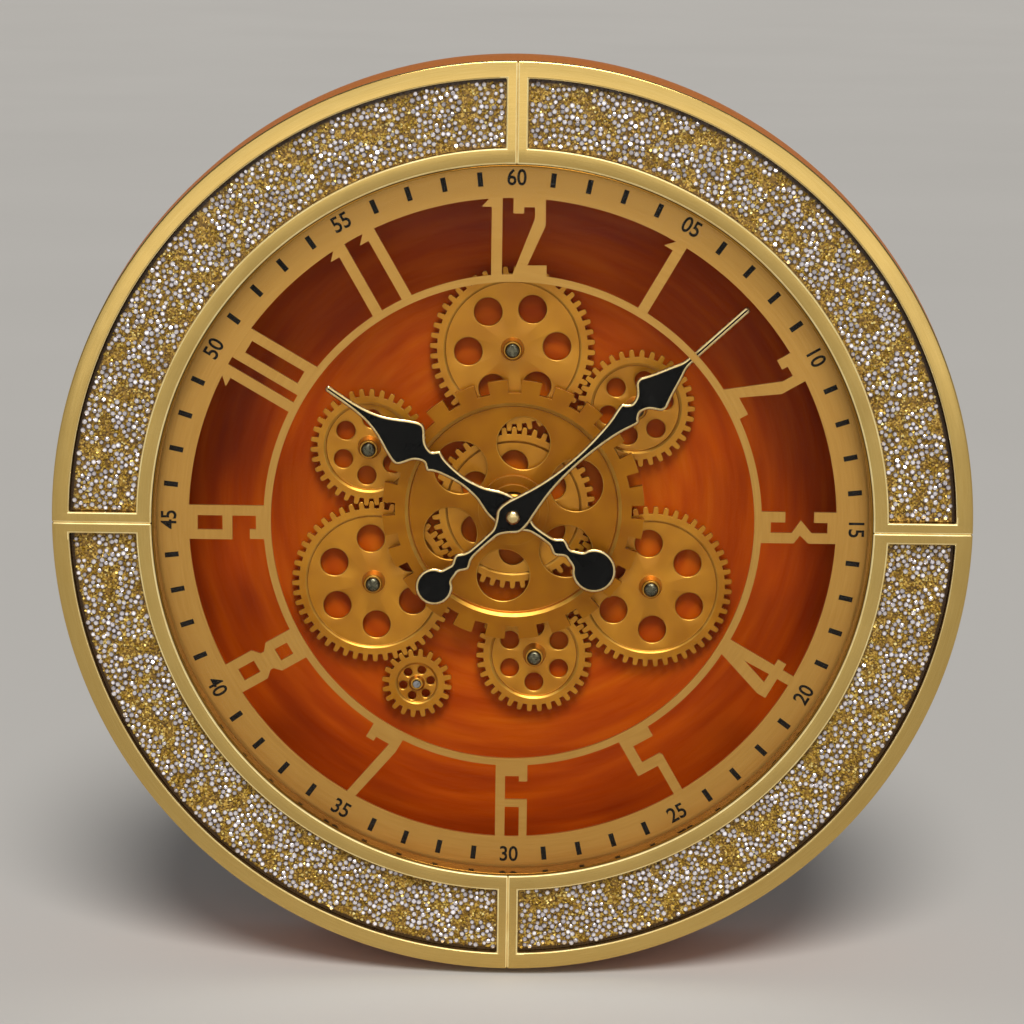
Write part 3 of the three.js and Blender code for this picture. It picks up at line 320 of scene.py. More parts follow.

# %% [markdown]
# ## Paint, enamel, plastic and steel
# The drum is sprayed a copper orange. The panel behind the gears is painted in glossy orange
# with strokes that run round the middle and a deeper red towards its edge, which is partly its paint
# and partly painted shade under the rim; only its front is painted, so the shader mixes in bare board
# where the depth says that the surface is the back.
# The hands are black enamel, the fittings at the back are steel and moulded plastic.

# %% Drum and panel paint
RED_AND_SHADE_REACH = 3.2
STROKE_REACH = 0.28
PAINT_END = 92.0
BOARD_START = 92.5
BOARD_DULL = 0.55

case_copper = new_finish("case_copper", (208, 122, 50), 0.25, 0.5, Specular_IOR_Level=0.2)
flakes = object_noise(case_copper, 700.0, 2.0)
tint(flakes, (0.35, 199, 112, 42), (0.65, 219, 132, 57))
gloss(object_noise(case_copper, 40.0), 0.48, 0.54)
press(flakes, 0.06, 0.05)

panel_orange = new_finish("panel_orange", (196, 84, 8), 0.0, 0.3, Specular_IOR_Level=0.06)
strokes = spread(ring_noise(panel_orange, 2.2, 95.0, 6.0), -STROKE_REACH, STROKE_REACH)
# Deeper red towards the edge: partly the paint, partly painted shade under the rim.
reach = reckon("Math", "MULTIPLY_ADD", off_axis(panel_orange), RED_AND_SHADE_REACH, strokes)["Value"]
paint_and_edge_shade = colours(
    reach, (0.0, 206, 100, 8), (0.4, 190, 78, 2), (0.62, 175, 65, 1), (0.95, 151, 49, 2))
board_grain = object_noise(panel_orange, 420.0, 6.0, (1, 1, 0.3))
board_tint = colours(board_grain, (0.3, 112, 80, 52), (0.7, 146, 108, 72))
panel_place = node(panel_orange.node_tree, "SeparateXYZ", Vector=on_piece(panel_orange))
behind = ranged(panel_place.outputs["Y"], at_depth(PAINT_END), at_depth(BOARD_START))
fine_strokes = ring_noise(panel_orange, 5.0, 420.0, 4.0)
dulled = reckon("Math", "MULTIPLY_ADD", behind, BOARD_DULL, spread(fine_strokes, 0.2, 0.4))["Value"]
feed(shader(panel_orange.node_tree), Base_Color=mixed(behind, paint_and_edge_shade, board_tint), Roughness=dulled)
press(fine_strokes, 0.25, 0.25)
print("paints:", case_copper.name, panel_orange.name)

# %% Enamel, print, plastics, steel and cell wrap
hand_black = new_finish("hand_black", (10, 10, 10), 0.0, 0.22, Specular_IOR_Level=0.1)
tint(object_noise(hand_black, 60.0), (0.3, 7, 7, 7), (0.7, 15, 14, 13))
gloss(object_noise(hand_black, 120.0), 0.16, 0.3)

print_black = new_finish("print_black", (16, 13, 10), 0.0, 0.5, Specular_IOR_Level=0.2)
tint(object_noise(print_black, 900.0), (0.3, 10, 8, 7), (0.7, 30, 24, 18))


def plain_metal(name, low, high, roughness):
    """Turned or pressed metal, a little uneven in tone and polish."""
    metal = new_finish(name, high, 1.0, roughness)
    grain = object_noise(metal, 260.0, 4.0)
    tint(grain, (0.32, *low), (0.68, *high))
    gloss(grain, roughness - 0.08, roughness + 0.08)
    press(object_noise(metal, 1400.0, 2.0), 0.1, 0.03)
    return metal


def moulded(name, low, high, roughness):
    """Moulded plastic with the fine texture of its tool."""
    plastic = new_finish(name, high, 0.0, roughness)
    texture = object_noise(plastic, 1300.0, 3.0)
    tint(texture, (0.3, *low), (0.7, *high))
    gloss(texture, roughness - 0.1, roughness + 0.06)
    press(texture, 0.35, 0.06)
    return plastic


screw_bronze = plain_metal("screw_bronze", (84, 83, 70), (128, 122, 100), 0.34)
steel = plain_metal("steel", (132, 133, 136), (186, 187, 190), 0.3)
brass_fitting = plain_metal("brass_fitting", (176, 134, 62), (214, 172, 92), 0.32)
black_plastic = moulded("black_plastic", (22, 22, 23), (38, 38, 39), 0.5)
white_plastic = moulded("white_plastic", (206, 205, 198), (228, 227, 220), 0.42)

cell_wrap = new_finish("cell_wrap", (32, 98, 62), 0.3, 0.34)
cell_bands = node(cell_wrap.node_tree, "TexWave", Vector=on_piece(cell_wrap), Scale=18.0, Distortion=0.0)
tint(cell_bands.outputs["Fac"], (0.42, 30, 96, 60), (0.46, 44, 44, 46))
gloss(object_noise(cell_wrap, 200.0), 0.28, 0.42)
print("fittings:", steel.name, brass_fitting.name, black_plastic.name, white_plastic.name, cell_wrap.name)

# %% [markdown]
# ## Crystals and glass
# The stones are clear chatons with a silver foil behind, so they act as small tilted mirrors;
# a tone stored on each stone makes some brighter and some greyer, and each stone is painted dark at
# its girdle and bright on its table as painted shade and a painted highlight. Between them lies gold grit
# on a dark tray, and along the tray's outer edge a bare ledge is painted dark brown as painted shade.
# The glass only has to be seen through and to carry a faint sheen: a clear shader mixed with a
# little gloss does that, and lets the lamps reach the dial.

# %% Crystals, grit and glass
# The ledge along the tray's outer edge is painted dark brown: painted shade.
SHADE_START = 0.2870
SHADE_END = 0.2886
LEDGE_PAINTED_SHADE = paint(56, 37, 14)


def by_tone(name, metallic, roughness, *stops):
    """A finish whose colour follows the tone stored on each stone or chip, which on the stones includes
    painted shade and a painted highlight.
    """
    material = new_finish(name, stops[-1][1:], metallic, roughness)
    tone = node(material.node_tree, "Attribute")
    tone.attribute_name = "tone"
    tint(tone.outputs["Fac"], *stops)
    gloss(object_noise(material, 800.0), roughness * 0.6, roughness * 1.6)
    return material


crystal_silver = by_tone(
    "crystal_silver", 0.55, 0.14,
    (0.0, 84, 78, 76), (0.35, 164, 157, 160), (0.7, 229, 223, 229), (1.0, 255, 252, 255))
grit_gold = by_tone(
    "grit_gold", 0.35, 0.32,
    (0.0, 132, 98, 28), (0.4, 184, 149, 52), (0.75, 216, 184, 84), (1.0, 246, 230, 156))

tray_brown = new_finish("tray_brown", (96, 72, 26), 0.3, 0.4)
tray_cells = node(tray_brown.node_tree, "TexVoronoi", Vector=on_piece(tray_brown), Scale=900.0)
tray_split = node(tray_brown.node_tree, "SeparateColor", Color=tray_cells.outputs["Color"])
tray_tint = colours(
    tray_split.outputs["Red"],
    (0.0, 84, 60, 22), (0.5, 138, 104, 38), (0.8, 184, 144, 56), (1.0, 226, 190, 96))
# Painted shade: dark brown on the ledge along the tray's outer edge.
painted_ledge_shade = ranged(off_axis(tray_brown), SHADE_START, SHADE_END)
feed(shader(tray_brown.node_tree), Base_Color=mixed(painted_ledge_shade, tray_tint, LEDGE_PAINTED_SHADE))
gloss(tray_split.outputs["Green"], 0.2, 0.5)

clear_glass = bpy.data.materials.new("clear_glass")
clear_glass.use_nodes = True
panes = clear_glass.node_tree
panes.nodes.clear()
smears = spread(object_noise(clear_glass, 14.0, 4.0), 0.02, 0.06)
see_through = node(panes, "BsdfTransparent", Color=(0.99, 0.995, 0.99, 1.0))
sheen = node(panes, "BsdfGlossy", Color=(1.0, 1.0, 1.0, 1.0), Roughness=smears)
glass_mix = node(panes, "MixShader", Fac=node(panes, "Fresnel", IOR=1.1).outputs["Fac"])
wire(see_through.outputs["BSDF"], glass_mix.inputs[1])
wire(sheen.outputs["BSDF"], glass_mix.inputs[2])
node(panes, "OutputMaterial", Surface=glass_mix.outputs["Shader"])
print("stones and glass:", crystal_silver.name, grit_gold.name, tray_brown.name, clear_glass.name)

# %% [markdown]
# ## Modelling helpers
# Most of a clock is turned work. A section is drawn by extruding one vertex from corner to
# corner, and spun once round the axis: that is a lathe. Plates are outlines that are filled and
# extruded. An operator acts on whatever is selected, so each helper starts by clearing the
# selection and ends with the piece at the origin, its place held in its mesh.

# %% Selecting and finishing
CLOSE = 1e-6


def object_mode():
    bpy.ops.object.mode_set(mode="OBJECT")


def clear_selection():
    if bpy.context.object and bpy.context.object.mode != "OBJECT":
        object_mode()
    bpy.ops.object.select_all(action="DESELECT")


def pick(*pieces):
    clear_selection()
    for piece in pieces:
        piece.select_set(True)
    bpy.context.view_layer.objects.active = pieces[0]


def edit(piece):
    """Opens a piece in edit mode with all of it selected."""
    pick(piece)
    bpy.ops.object.mode_set(mode="EDIT")
    bpy.ops.mesh.select_mode(type="VERT")
    bpy.ops.mesh.select_all(action="SELECT")


def named(name):
    piece = bpy.context.object
    piece.name = name
    piece.data.name = name
    return piece


def settle(piece):
    """Puts the piece's place, turn and scale into its mesh."""
    pick(piece)
    bpy.ops.object.transform_apply(location=True, rotation=True, scale=True)
    return piece


def close_up(piece):
    """Merges doubles and turns all faces outwards."""
    edit(piece)
    bpy.ops.mesh.remove_doubles(threshold=CLOSE)
    bpy.ops.mesh.normals_make_consistent(inside=False)
    object_mode()
    return piece


def soften(piece, width, segments=2, angle=32):
    """A small bevel on every sharp edge, with flat faces kept flat."""
    pick(piece)
    bpy.ops.object.shade_smooth_by_angle(angle=math.radians(angle))
    bevel = piece.modifiers.new("edges", "BEVEL")
    bevel.width = width * MM
    bevel.segments = segments
    bevel.limit_method = "ANGLE"
    bevel.angle_limit = math.radians(angle)
    bevel.harden_normals = True
    bpy.ops.object.modifier_apply(modifier=bevel.name)
    return piece


def finished(piece, body, finish, slot, *nodes):
    """Gives a piece its finish, the body that carries it and the solid it stands for."""
    piece.data.materials.clear()
    piece.data.materials.append(finish)
    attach(piece, body)
    if nodes:
        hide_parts(*nodes)
    size = [round(side / MM, 1) for side in piece.dimensions]
    print(piece.name, "faces", len(piece.data.polygons), "mm", size)
    return piece


print("selection helpers ready")

# %% Lathe, plates, blocks, copies and cuts


def extrude(move):
    bpy.ops.mesh.extrude_region_move(TRANSFORM_OT_translate={"value": move})


def chain(name, points):
    """One vertex, extruded from point to point."""
    clear_selection()
    bpy.ops.mesh.primitive_plane_add(size=MM, location=points[0])
    piece = named(name)
    bpy.ops.object.mode_set(mode="EDIT")
    bpy.ops.mesh.merge(type="CENTER")
    for here, there in zip(points, points[1:]):
        extrude(there - here)
    object_mode()
    return settle(piece)


def turned(name, section, steps, centre=ON_AXIS, closed=True):
    """A lathe: (radius, depth) corners spun round the axis through centre."""
    points = [clock_point(radius, 90, depth, centre) for radius, depth in section]
    if closed:
        points.append(points[0].copy())
    piece = chain(name, points)
    edit(piece)
    axis_place = (centre[0] * MM, 0, centre[1] * MM)
    bpy.ops.mesh.spin(steps=steps, angle=FULL_TURN, center=axis_place, axis=(0, 1, 0))
    return close_up(piece)


def plate(name, outline, front, rear):
    """A flat outline of (across, up) corners in mm, filled and extruded to its thickness."""
    points = [in_space(corner, front) for corner in outline]
    piece = chain(name, points + [points[0].copy()])
    edit(piece)
    bpy.ops.mesh.remove_doubles(threshold=CLOSE)
    bpy.ops.mesh.edge_face_add()
    extrude((0, (rear - front) * MM, 0))
    return close_up(piece)


def rod(name, radius, front, rear, sides=48):
    """A plain cylinder on the clock's axis, used as a drill."""
    clear_selection()
    bpy.ops.mesh.primitive_cylinder_add(
        vertices=sides, radius=radius * MM, depth=(rear - front) * MM,
        location=clock_point(0, 0, (front + rear) / 2), rotation=(math.radians(90), 0, 0))
    return settle(named(name))


def block(name, middle, sizes, turn=0.0):
    """A box with sides in mm, turned clockwise about its own middle."""
    clear_selection()
    bpy.ops.mesh.primitive_cube_add(size=MM, location=middle)
    box = named(name)
    box.scale = sizes
    box.rotation_euler = (0, math.radians(turn), 0)
    return settle(box)


def joined(name, *pieces):
    pick(*pieces)
    bpy.ops.object.join()
    return named(name)


def combine(piece, tool, operation="DIFFERENCE", solver="MANIFOLD"):
    """A boolean with a tool that is thrown away afterwards."""
    pick(piece)
    boolean = piece.modifiers.new("tool", "BOOLEAN")
    boolean.operation = operation
    boolean.solver = solver
    boolean.object = tool
    bpy.ops.object.modifier_apply(modifier=boolean.name)
    bpy.data.objects.remove(tool)
    return piece


def copied(piece, name, centre=ON_AXIS, turn=0.0):
    """A copy with its own mesh, turned clockwise about its own axis and moved to its centre."""
    pick(piece)
    bpy.ops.object.duplicate(linked=False)
    copy = named(name)
    copy.rotation_euler = (0, math.radians(turn), 0)
    copy.location = (centre[0] * MM, 0, centre[1] * MM)
    return settle(copy)


def throw_away(*patterns):
    for pattern in patterns:
        bpy.data.objects.remove(pattern)


def flat_faces(piece):
    """Runs faces that lie in one plane together, so that bevels stay clean."""
    edit(piece)
    bpy.ops.mesh.dissolve_limited(angle_limit=math.radians(0.5))
    object_mode()
    return piece


print("lathe, plate, block, copy and cut helpers ready")

# %% [markdown]
# ## Case drum
# The real drum is a spun metal tub: a slightly bellied side, a flange at the front that carries
# the bezel, the glass and the dial, and a ledge inside for the panel. One lathe section draws
# all of it, and a small bevel takes the sharpness off its lips.

# %% Case drum
CASE_FRONT = 301.0
CASE_SHOULDER = 304.2
SHOULDER_DEPTH = 32.0
CASE_BELLY = 305.2
BELLY_DEPTH = 60.0
CASE_REAR = 304.0
CASE_BORE = 294.0
BEZEL_INNER = 236.3
GLASS_RADIUS = 246.0
DIAL_RADIUS = 256.0
FIT = 0.3
FLANGE_FRONT = 12.3
LIP_REAR = 14.0
DIAL_SEAT = 17.7
FLANGE_REAR = 24.0
LEDGE_RADIUS = 284.0
LEDGE_FRONT = 84.0
PANEL_SEAT = 89.7
RING_STEPS = 240

case_drum = turned("drum_shell", [
    (BEZEL_INNER, FLANGE_FRONT), (CASE_FRONT, FLANGE_FRONT),
    (CASE_SHOULDER, SHOULDER_DEPTH), (CASE_BELLY, BELLY_DEPTH),
    (CASE_REAR, CASE_DEPTH), (CASE_BORE, CASE_DEPTH), (CASE_BORE, PANEL_SEAT), (LEDGE_RADIUS, PANEL_SEAT),
    (LEDGE_RADIUS, LEDGE_FRONT), (CASE_BORE, LEDGE_FRONT), (CASE_BORE, FLANGE_REAR),
    (DIAL_RADIUS + FIT, FLANGE_REAR), (DIAL_RADIUS + FIT, DIAL_SEAT),
    (GLASS_RADIUS + FIT, DIAL_SEAT), (GLASS_RADIUS + FIT, LIP_REAR), (BEZEL_INNER, LIP_REAR),
], RING_STEPS)
soften(case_drum, 0.8)
finished(case_drum, "clock", case_copper, "case_copper", "case_drum")

# %% [markdown]
# ## Bezel frames
# The bezel is four gold frames, each a quarter of the ring with an opening for its crystals.
# One is drawn as a row of bands, spun a quarter turn, trimmed straight at both seams with
# bisect, opened by deleting the faces of the channel, and extruded to its depth. The outer and
# inner rims get a wide chamfer and everything else a fine one, so the seam shows as a fine line.
# The rounded edges, apart from the outer rim, get the paler gold as a second finish, which is a painted
# highlight.

# %% Selecting by place, and quarter rings
QUARTER_STEPS = 80
SLACK = 0.2
LEAST_SLOPE = 0.12
MOST_SLOPE = 0.97


def unselect(mesh):
    for item in (*mesh.vertices, *mesh.edges, *mesh.polygons):
        item.select = False


def select_where(piece, kind, test):
    """Opens a piece with the edges or faces selected whose corners all pass a test in mm."""
    pick(piece)
    mesh = piece.data
    unselect(mesh)
    for item in mesh.edges if kind == "EDGE" else mesh.polygons:
        item.select = all(test(mesh.vertices[i].co / MM) for i in item.vertices)
    bpy.ops.object.mode_set(mode="EDIT")
    bpy.ops.mesh.select_mode(type=kind)


def out_from_axis(point):
    return math.hypot(point.x, point.z)


def slopes(face):
    """Whether a face leans back from the front."""
    return LEAST_SLOPE < -face.normal.y < MOST_SLOPE


def second_finish(piece, finish, test):
    """Another finish on the faces that pass a test."""
    piece.data.materials.append(finish)
    for face in piece.data.polygons:
        if test(face):
            face.material_index = 1


def cut_along_seams(margin, **options):
    """Cuts an open mesh parallel to both seams of its quarter, this far from them."""
    for normal in ((1, 0, 0), (0, 0, 1)):
        bpy.ops.mesh.select_all(action="SELECT")
        bpy.ops.mesh.bisect(plane_co=Vector(normal) * margin * MM, plane_no=normal, **options)


def quarter_ring(name, bands, margin):
    """Bands between (radius, depth) lines over the quarter from twelve to three, cut square."""
    ring = chain(name, [clock_point(radius, 0, depth) for radius, depth in bands])
    edit(ring)
    bpy.ops.mesh.spin(steps=QUARTER_STEPS, angle=math.radians(90), center=(0, 0, 0), axis=(0, -1, 0))
    cut_along_seams(margin, clear_inner=True)
    object_mode()
    return ring


print("quarter ring helpers ready")

# %% One bezel frame, then four
CHANNEL_OUTER = 290.5
CHANNEL_INNER = 246.5
BEZEL_DEPTH = 12.0
END_STRIP = 7.0
BEZEL_OUTER = 301.6
OUTER_FALL = 0.6
RIM_CHAMFER = 1.1
SEAM = 0.04
FRONT_LIMIT = at_depth(2 * OUTER_FALL) / MM


def over_channel(point):
    in_ring = CHANNEL_INNER - SLACK < out_from_axis(point) < CHANNEL_OUTER + SLACK
    return in_ring and point.x > END_STRIP - SLACK and point.z > END_STRIP - SLACK


def on_front_rim(point):
    radius = out_from_axis(point)
    return point.y < FRONT_LIMIT and (radius > BEZEL_OUTER - SLACK or radius < BEZEL_INNER + SLACK)


# Sloping faces inside the outer rim, which get the paler gold as a painted highlight.
def on_painted_highlight_edge(face):
    return slopes(face) and out_from_axis(face.center / MM) < BEZEL_OUTER - RIM_CHAMFER - SLACK


frame_blank = quarter_ring("frame_blank", (
    (BEZEL_INNER, 0.0), (CHANNEL_INNER, 0.0), (CHANNEL_OUTER, 0.0), (BEZEL_OUTER, OUTER_FALL)), SEAM)
edit(frame_blank)
cut_along_seams(END_STRIP)
select_where(frame_blank, "FACE", over_channel)
bpy.ops.mesh.delete(type="FACE")
bpy.ops.mesh.select_all(action="SELECT")
bpy.ops.mesh.remove_doubles(threshold=CLOSE)
extrude((0, BEZEL_DEPTH * MM, 0))
close_up(frame_blank)
select_where(frame_blank, "EDGE", on_front_rim)
bpy.ops.mesh.bevel(offset=RIM_CHAMFER * MM, segments=3, affect="EDGES")
soften(frame_blank, 1.1, segments=3, angle=35)
for quarter in range(4):
    bezel = copied(frame_blank, f"bezel_gold_{quarter + 1}", turn=90 * quarter)
    finished(bezel, "clock", bezel_gold, "bezel_gold", f"bezel_frame_{quarter + 1}")
    # The paler gold on the rounded edges is a painted highlight.
    second_finish(bezel, bezel_painted_highlight, on_painted_highlight_edge)
throw_away(frame_blank)

# %% [markdown]
# ## Crystals
# Each frame holds a tray with about a thousand small stones poured over gold grit. Copying a
# thousand objects would be slow, so one stone and one chip are modelled, and their corners are
# copied into one mesh per tray, each with its own turn and tilt. The draw is seeded, so the
# tray comes out the same every time, and a soft noise gathers the stones into drifts.

# %% One stone and one chip
clear_selection()
bpy.ops.mesh.primitive_circle_add(
    vertices=8, radius=1.0, fill_type="NGON", rotation=(math.radians(90), 0, 0))
stone = settle(named("stone_pattern"))
edit(stone)
for shrink, rise in ((0.92, 0.4), (0.62, 0.34)):
    extrude((0, -rise, 0))
    bpy.ops.transform.resize(value=(shrink, 1, shrink), center_override=(0, 0, 0))
close_up(stone)

clear_selection()
bpy.ops.mesh.primitive_cone_add(vertices=4, radius1=1.0, radius2=0.45, depth=1.1)
chip = settle(named("chip_pattern"))
print("stone faces", len(stone.data.polygons), "chip faces", len(chip.data.polygons))

# %% How stones and chips are poured
TRAY_FRONT = 6.4
STONE_RADIUS = 1.9
STONE_SPACING = 3.15
STONE_DARTS = 18000
CHIP_COUNT = 3000
DRIFT_SIZE = 13.0
DRIFT_CHANCE = 0.66
DRIFT_PULL = 2.8
STONE_CLEAR = 2.0
CHIP_CLEAR = 1.4
OUTER_LEDGE = 1.0


def in_channel(x, z, clear):
    radius = math.hypot(x, z)
    inside = CHANNEL_INNER + clear < radius < CHANNEL_OUTER - OUTER_LEDGE - clear
    return inside and x > END_STRIP + clear and z > END_STRIP + clear


def tray_spot(draw):
    """A point of the quarter ring, evenly over its area."""
    radius = math.sqrt(draw.uniform(CHANNEL_INNER ** 2, CHANNEL_OUTER ** 2))
    return polar(radius, draw.uniform(0, 90))


def stone_painted_shade(corner):
    """Painted shade and a painted highlight: a stone is painted dark at its girdle, greyer on its crown and
    bright on its table.
    """
    height = abs(corner.y)
    if height < 0.2:
        return 0.25
    return 0.5 if height < 0.6 else 1.0


def chip_tone(corner):
    """A chip has one tone all over."""
    return 1.0


def scattered(name, pattern, places, draw, shade, darkest):
    """One mesh with a copy of the pattern at every (x, depth, z, size, tilt) place."""
    corners = [vertex.co.copy() for vertex in pattern.data.vertices]
    loops = [tuple(face.vertices) for face in pattern.data.polygons]
    points, faces, tones_and_painted_shade = [], [], []
    for x, depth, z, size, tilt in places:
        first = len(points)
        lean_axis = Vector((draw.uniform(-1, 1), 0, draw.uniform(-1, 1))).normalized()
        lean = Matrix.Rotation(tilt, 3, lean_axis)
        turn = lean @ Matrix.Rotation(draw.uniform(0, FULL_TURN), 3, "Y")
        seat = in_space((x, z), depth)
        points.extend(seat + turn @ corner * (size * MM) for corner in corners)
        faces.extend(tuple(first + i for i in loop) for loop in loops)
        tone = draw.uniform(darkest, 1.0)
        # Each corner's tone is the random tone times the painted shade from shade(): a dark girdle and a
        # bright table on stones.
        tones_and_painted_shade.extend(tone * shade(corner) for corner in corners)
    mesh = bpy.data.meshes.new(name)
    mesh.from_pydata(points, [], faces)
    mesh.attributes.new("tone", "FLOAT", "POINT").data.foreach_set("value", tones_and_painted_shade)
    field = bpy.data.objects.new(name, mesh)
    scene.collection.objects.link(field)
    return field


def poured_stones(draw, drift):
    """Stones thrown one by one; a throw that lands on another stone or in a bare drift is lost."""
    grid, kept = {}, []
    for throw in range(STONE_DARTS):
        x, z = tray_spot(draw)
        chance = draw.random()
        if not in_channel(x, z, STONE_CLEAR):
            continue
        thickness = noise.noise(Vector((x / DRIFT_SIZE + drift, z / DRIFT_SIZE, drift)))
        if chance > DRIFT_CHANCE + DRIFT_PULL * thickness:
            continue
        cell = (int(x // STONE_SPACING), int(z // STONE_SPACING))
        near = [grid.get((cell[0] + i, cell[1] + j), ()) for i in (-1, 0, 1) for j in (-1, 0, 1)]
        if any(math.hypot(x - px, z - pz) < STONE_SPACING for spots in near for px, pz in spots):
            continue
        grid.setdefault(cell, []).append((x, z))
        kept.append((x, z))
    return kept


print("stones up to", STONE_RADIUS, "mm, chips in each tray:", CHIP_COUNT)

# %% Trays, stones and grit
FIRST_SEED = 40
DRIFT_STEP = 7.0

tray_blank = quarter_ring("tray_blank", (
    (CHANNEL_INNER + FIT, TRAY_FRONT), (CHANNEL_OUTER - FIT, TRAY_FRONT)), END_STRIP + FIT)
edit(tray_blank)
extrude((0, (BEZEL_DEPTH - TRAY_FRONT) * MM, 0))
close_up(tray_blank)
for quarter in range(4):
    number = quarter + 1
    draw = random.Random(FIRST_SEED + quarter)
    tray = copied(tray_blank, f"crystal_tray_{number}", turn=90 * quarter)
    finished(tray, "clock", tray_brown, "crystal", f"crystal_panel_{number}")

    stone_places = []
    for x, z in poured_stones(draw, DRIFT_STEP * quarter):
        depth = TRAY_FRONT - draw.uniform(0.2, 1.0)
        size = STONE_RADIUS * draw.uniform(0.82, 1.06)
        stone_places.append((x, depth, z, size, draw.uniform(0.05, 0.5)))
    # The stones carry painted shade at the girdle and a painted highlight on the table.
    stones = scattered(f"crystal_stones_{number}", stone, stone_places, draw, stone_painted_shade, 0.5)

    chip_places = []
    while len(chip_places) < CHIP_COUNT:
        x, z = tray_spot(draw)
        if in_channel(x, z, CHIP_CLEAR):
            depth = TRAY_FRONT - draw.uniform(0.1, 0.9)
            chip_places.append((x, depth, z, draw.uniform(0.8, 1.3), draw.uniform(0.0, 3.0)))
    chips = scattered(f"gold_grit_{number}", chip, chip_places, draw, chip_tone, 0.0)

    for field, finish in ((stones, crystal_silver), (chips, grit_gold)):
        field.rotation_euler = (0, math.radians(90 * quarter), 0)
        settle(field)
        finished(field, "clock", finish, "crystal")
throw_away(tray_blank, stone, chip)

# %% [markdown]
# ## Trim ring and glass
# A thin polished wall lines the bezel down to the glass, and shows the dial in it like a
# mirror. The glass is a plain disc with a ground edge.

# %% Trim ring and glass
TRIM_OUTER = 236.0
TRIM_INNER = 234.8
TRIM_FRONT = 0.6
GLASS_FRONT = 14.3
GLASS_REAR = 17.3


def ring_plate(name, inner, outer, front, rear):
    return turned(name, [(inner, front), (outer, front), (outer, rear), (inner, rear)], RING_STEPS)


trim_ring = ring_plate("trim_wall", TRIM_INNER, TRIM_OUTER, TRIM_FRONT, LIP_REAR)
soften(trim_ring, 0.35)
finished(trim_ring, "clock", trim_gold, "bezel_gold", "inner_trim_ring")

glass = turned("dial_glass", [
    (0, GLASS_FRONT), (GLASS_RADIUS, GLASS_FRONT), (GLASS_RADIUS, GLASS_REAR), (0, GLASS_REAR),
], RING_STEPS, closed=False)
soften(glass, 0.5)
finished(glass, "clock", clear_glass, "clear_glass", "glass")

# %% [markdown]
# ## Dial
# The dial is cut from one sheet: a wide ring, a thin ring and twelve numerals that bridge them.
# The rings are turned. Each figure is drawn upright on a grid as high as the space between the
# rings, seated at its hour, and joined on with a boolean, so that the sheet stays one piece.

# %% Numeral outlines
CHAPTER_INNER = 213.9
THIN_OUTER = 164.6
THIN_INNER = 159.7
DIAL_FRONT = 18.0
DIAL_REAR = 20.0
HEAD = 49.3
ROOT = 2.0
STROKE = 7.0
BAR = 5.9
HALF = 10.5
FLAG_REACH = 10.0
HOOK_DROP = 10.0
INNER = HALF - STROKE
HEAD_BAR = HEAD - BAR
HEAD_END = HEAD + ROOT


def slot_outline(left, right, low, high):
    return [(left, low), (right, low), (right, high), (left, high)]


def one_at(x):
    return [[
        (x - STROKE / 2, -ROOT), (x + STROKE / 2, -ROOT), (x + STROKE / 2, HEAD_END),
        (x - STROKE / 2 - 1, HEAD_END), (x - STROKE / 2 - 1, HEAD), (x - FLAG_REACH, HEAD_BAR),
        (x - STROKE / 2, HEAD_BAR)]]


def two_at(x):
    return [[
        (x - HALF, HEAD_END), (x - HALF, HEAD - HOOK_DROP), (x - INNER, HEAD - HOOK_DROP),
        (x - INNER, HEAD_BAR), (x + INNER, HEAD_BAR), (x + INNER, 36), (x - HALF, 0), (x - HALF, -ROOT),
        (x + HALF + 1, -ROOT), (x + HALF + 1, BAR), (x - 1, BAR), (x + HALF, 31.5), (x + HALF, HEAD_END)]]


def zero_at(x):
    return [
        slot_outline(x - 11.3, x + 11.3, -ROOT, HEAD_END),
        slot_outline(x - 4.5, x + 4.5, BAR - 2, HEAD_BAR)]


three = [[
    (-HALF, HEAD_END), (-HALF, 34.4), (-INNER, 34.4), (-INNER, HEAD_BAR), (INNER, HEAD_BAR), (INNER, 33),
    (-5, 25.7), (INNER, 19.8), (INNER, BAR), (-INNER, BAR), (-INNER, 15.4), (-HALF, 15.4), (-HALF, -ROOT),
    (HALF, -ROOT), (HALF, 21.4), (5.1, 25.4), (HALF, 31), (HALF, HEAD_END)]]
four = [[
    (-4.3, HEAD_END), (-4.3, HEAD), (-15, 15), (-15, 8.6), (0.2, 8.6), (0.2, -ROOT), (7.1, -ROOT),
    (7.1, 8.6), (11.7, 8.6), (11.7, 15), (7.1, 15), (7.1, HEAD_END)],
    [(-0.4, 34), (-6.2, 15), (0.2, 15)]]
five = [[
    (-HALF, HEAD_END), (-HALF, 22.6), (INNER + 1, 22.6), (INNER + 1, -ROOT), (HALF + 0.5, -ROOT),
    (HALF + 0.5, 28), (HALF - 1, 29.8), (-INNER, 29.8), (-INNER, HEAD_BAR - 1), (HALF + 1, HEAD_BAR - 1),
    (HALF + 1, HEAD_END)]]
six = [[
    (-9.3, HEAD_END), (-9.3, -ROOT), (-2.9, -ROOT), (-2.9, 20.5), (6.6, 20.5), (6.6, -ROOT), (12, -ROOT),
    (12, 25.8), (-2.9, 25.8), (-2.9, 41.9), (6.4, 41.9), (6.4, 38.3), (12, 38.3), (12, HEAD_END)]]
seven = [[
    (-HALF, HEAD_END), (-HALF, HEAD - HOOK_DROP), (-4.6, HEAD - HOOK_DROP), (-4.6, 42.6), (5.4, 42.6),
    (-2.6, 0), (-2.6, -ROOT), (4, -ROOT), (4, 0), (11.9, 40), (11.9, HEAD_END)]]
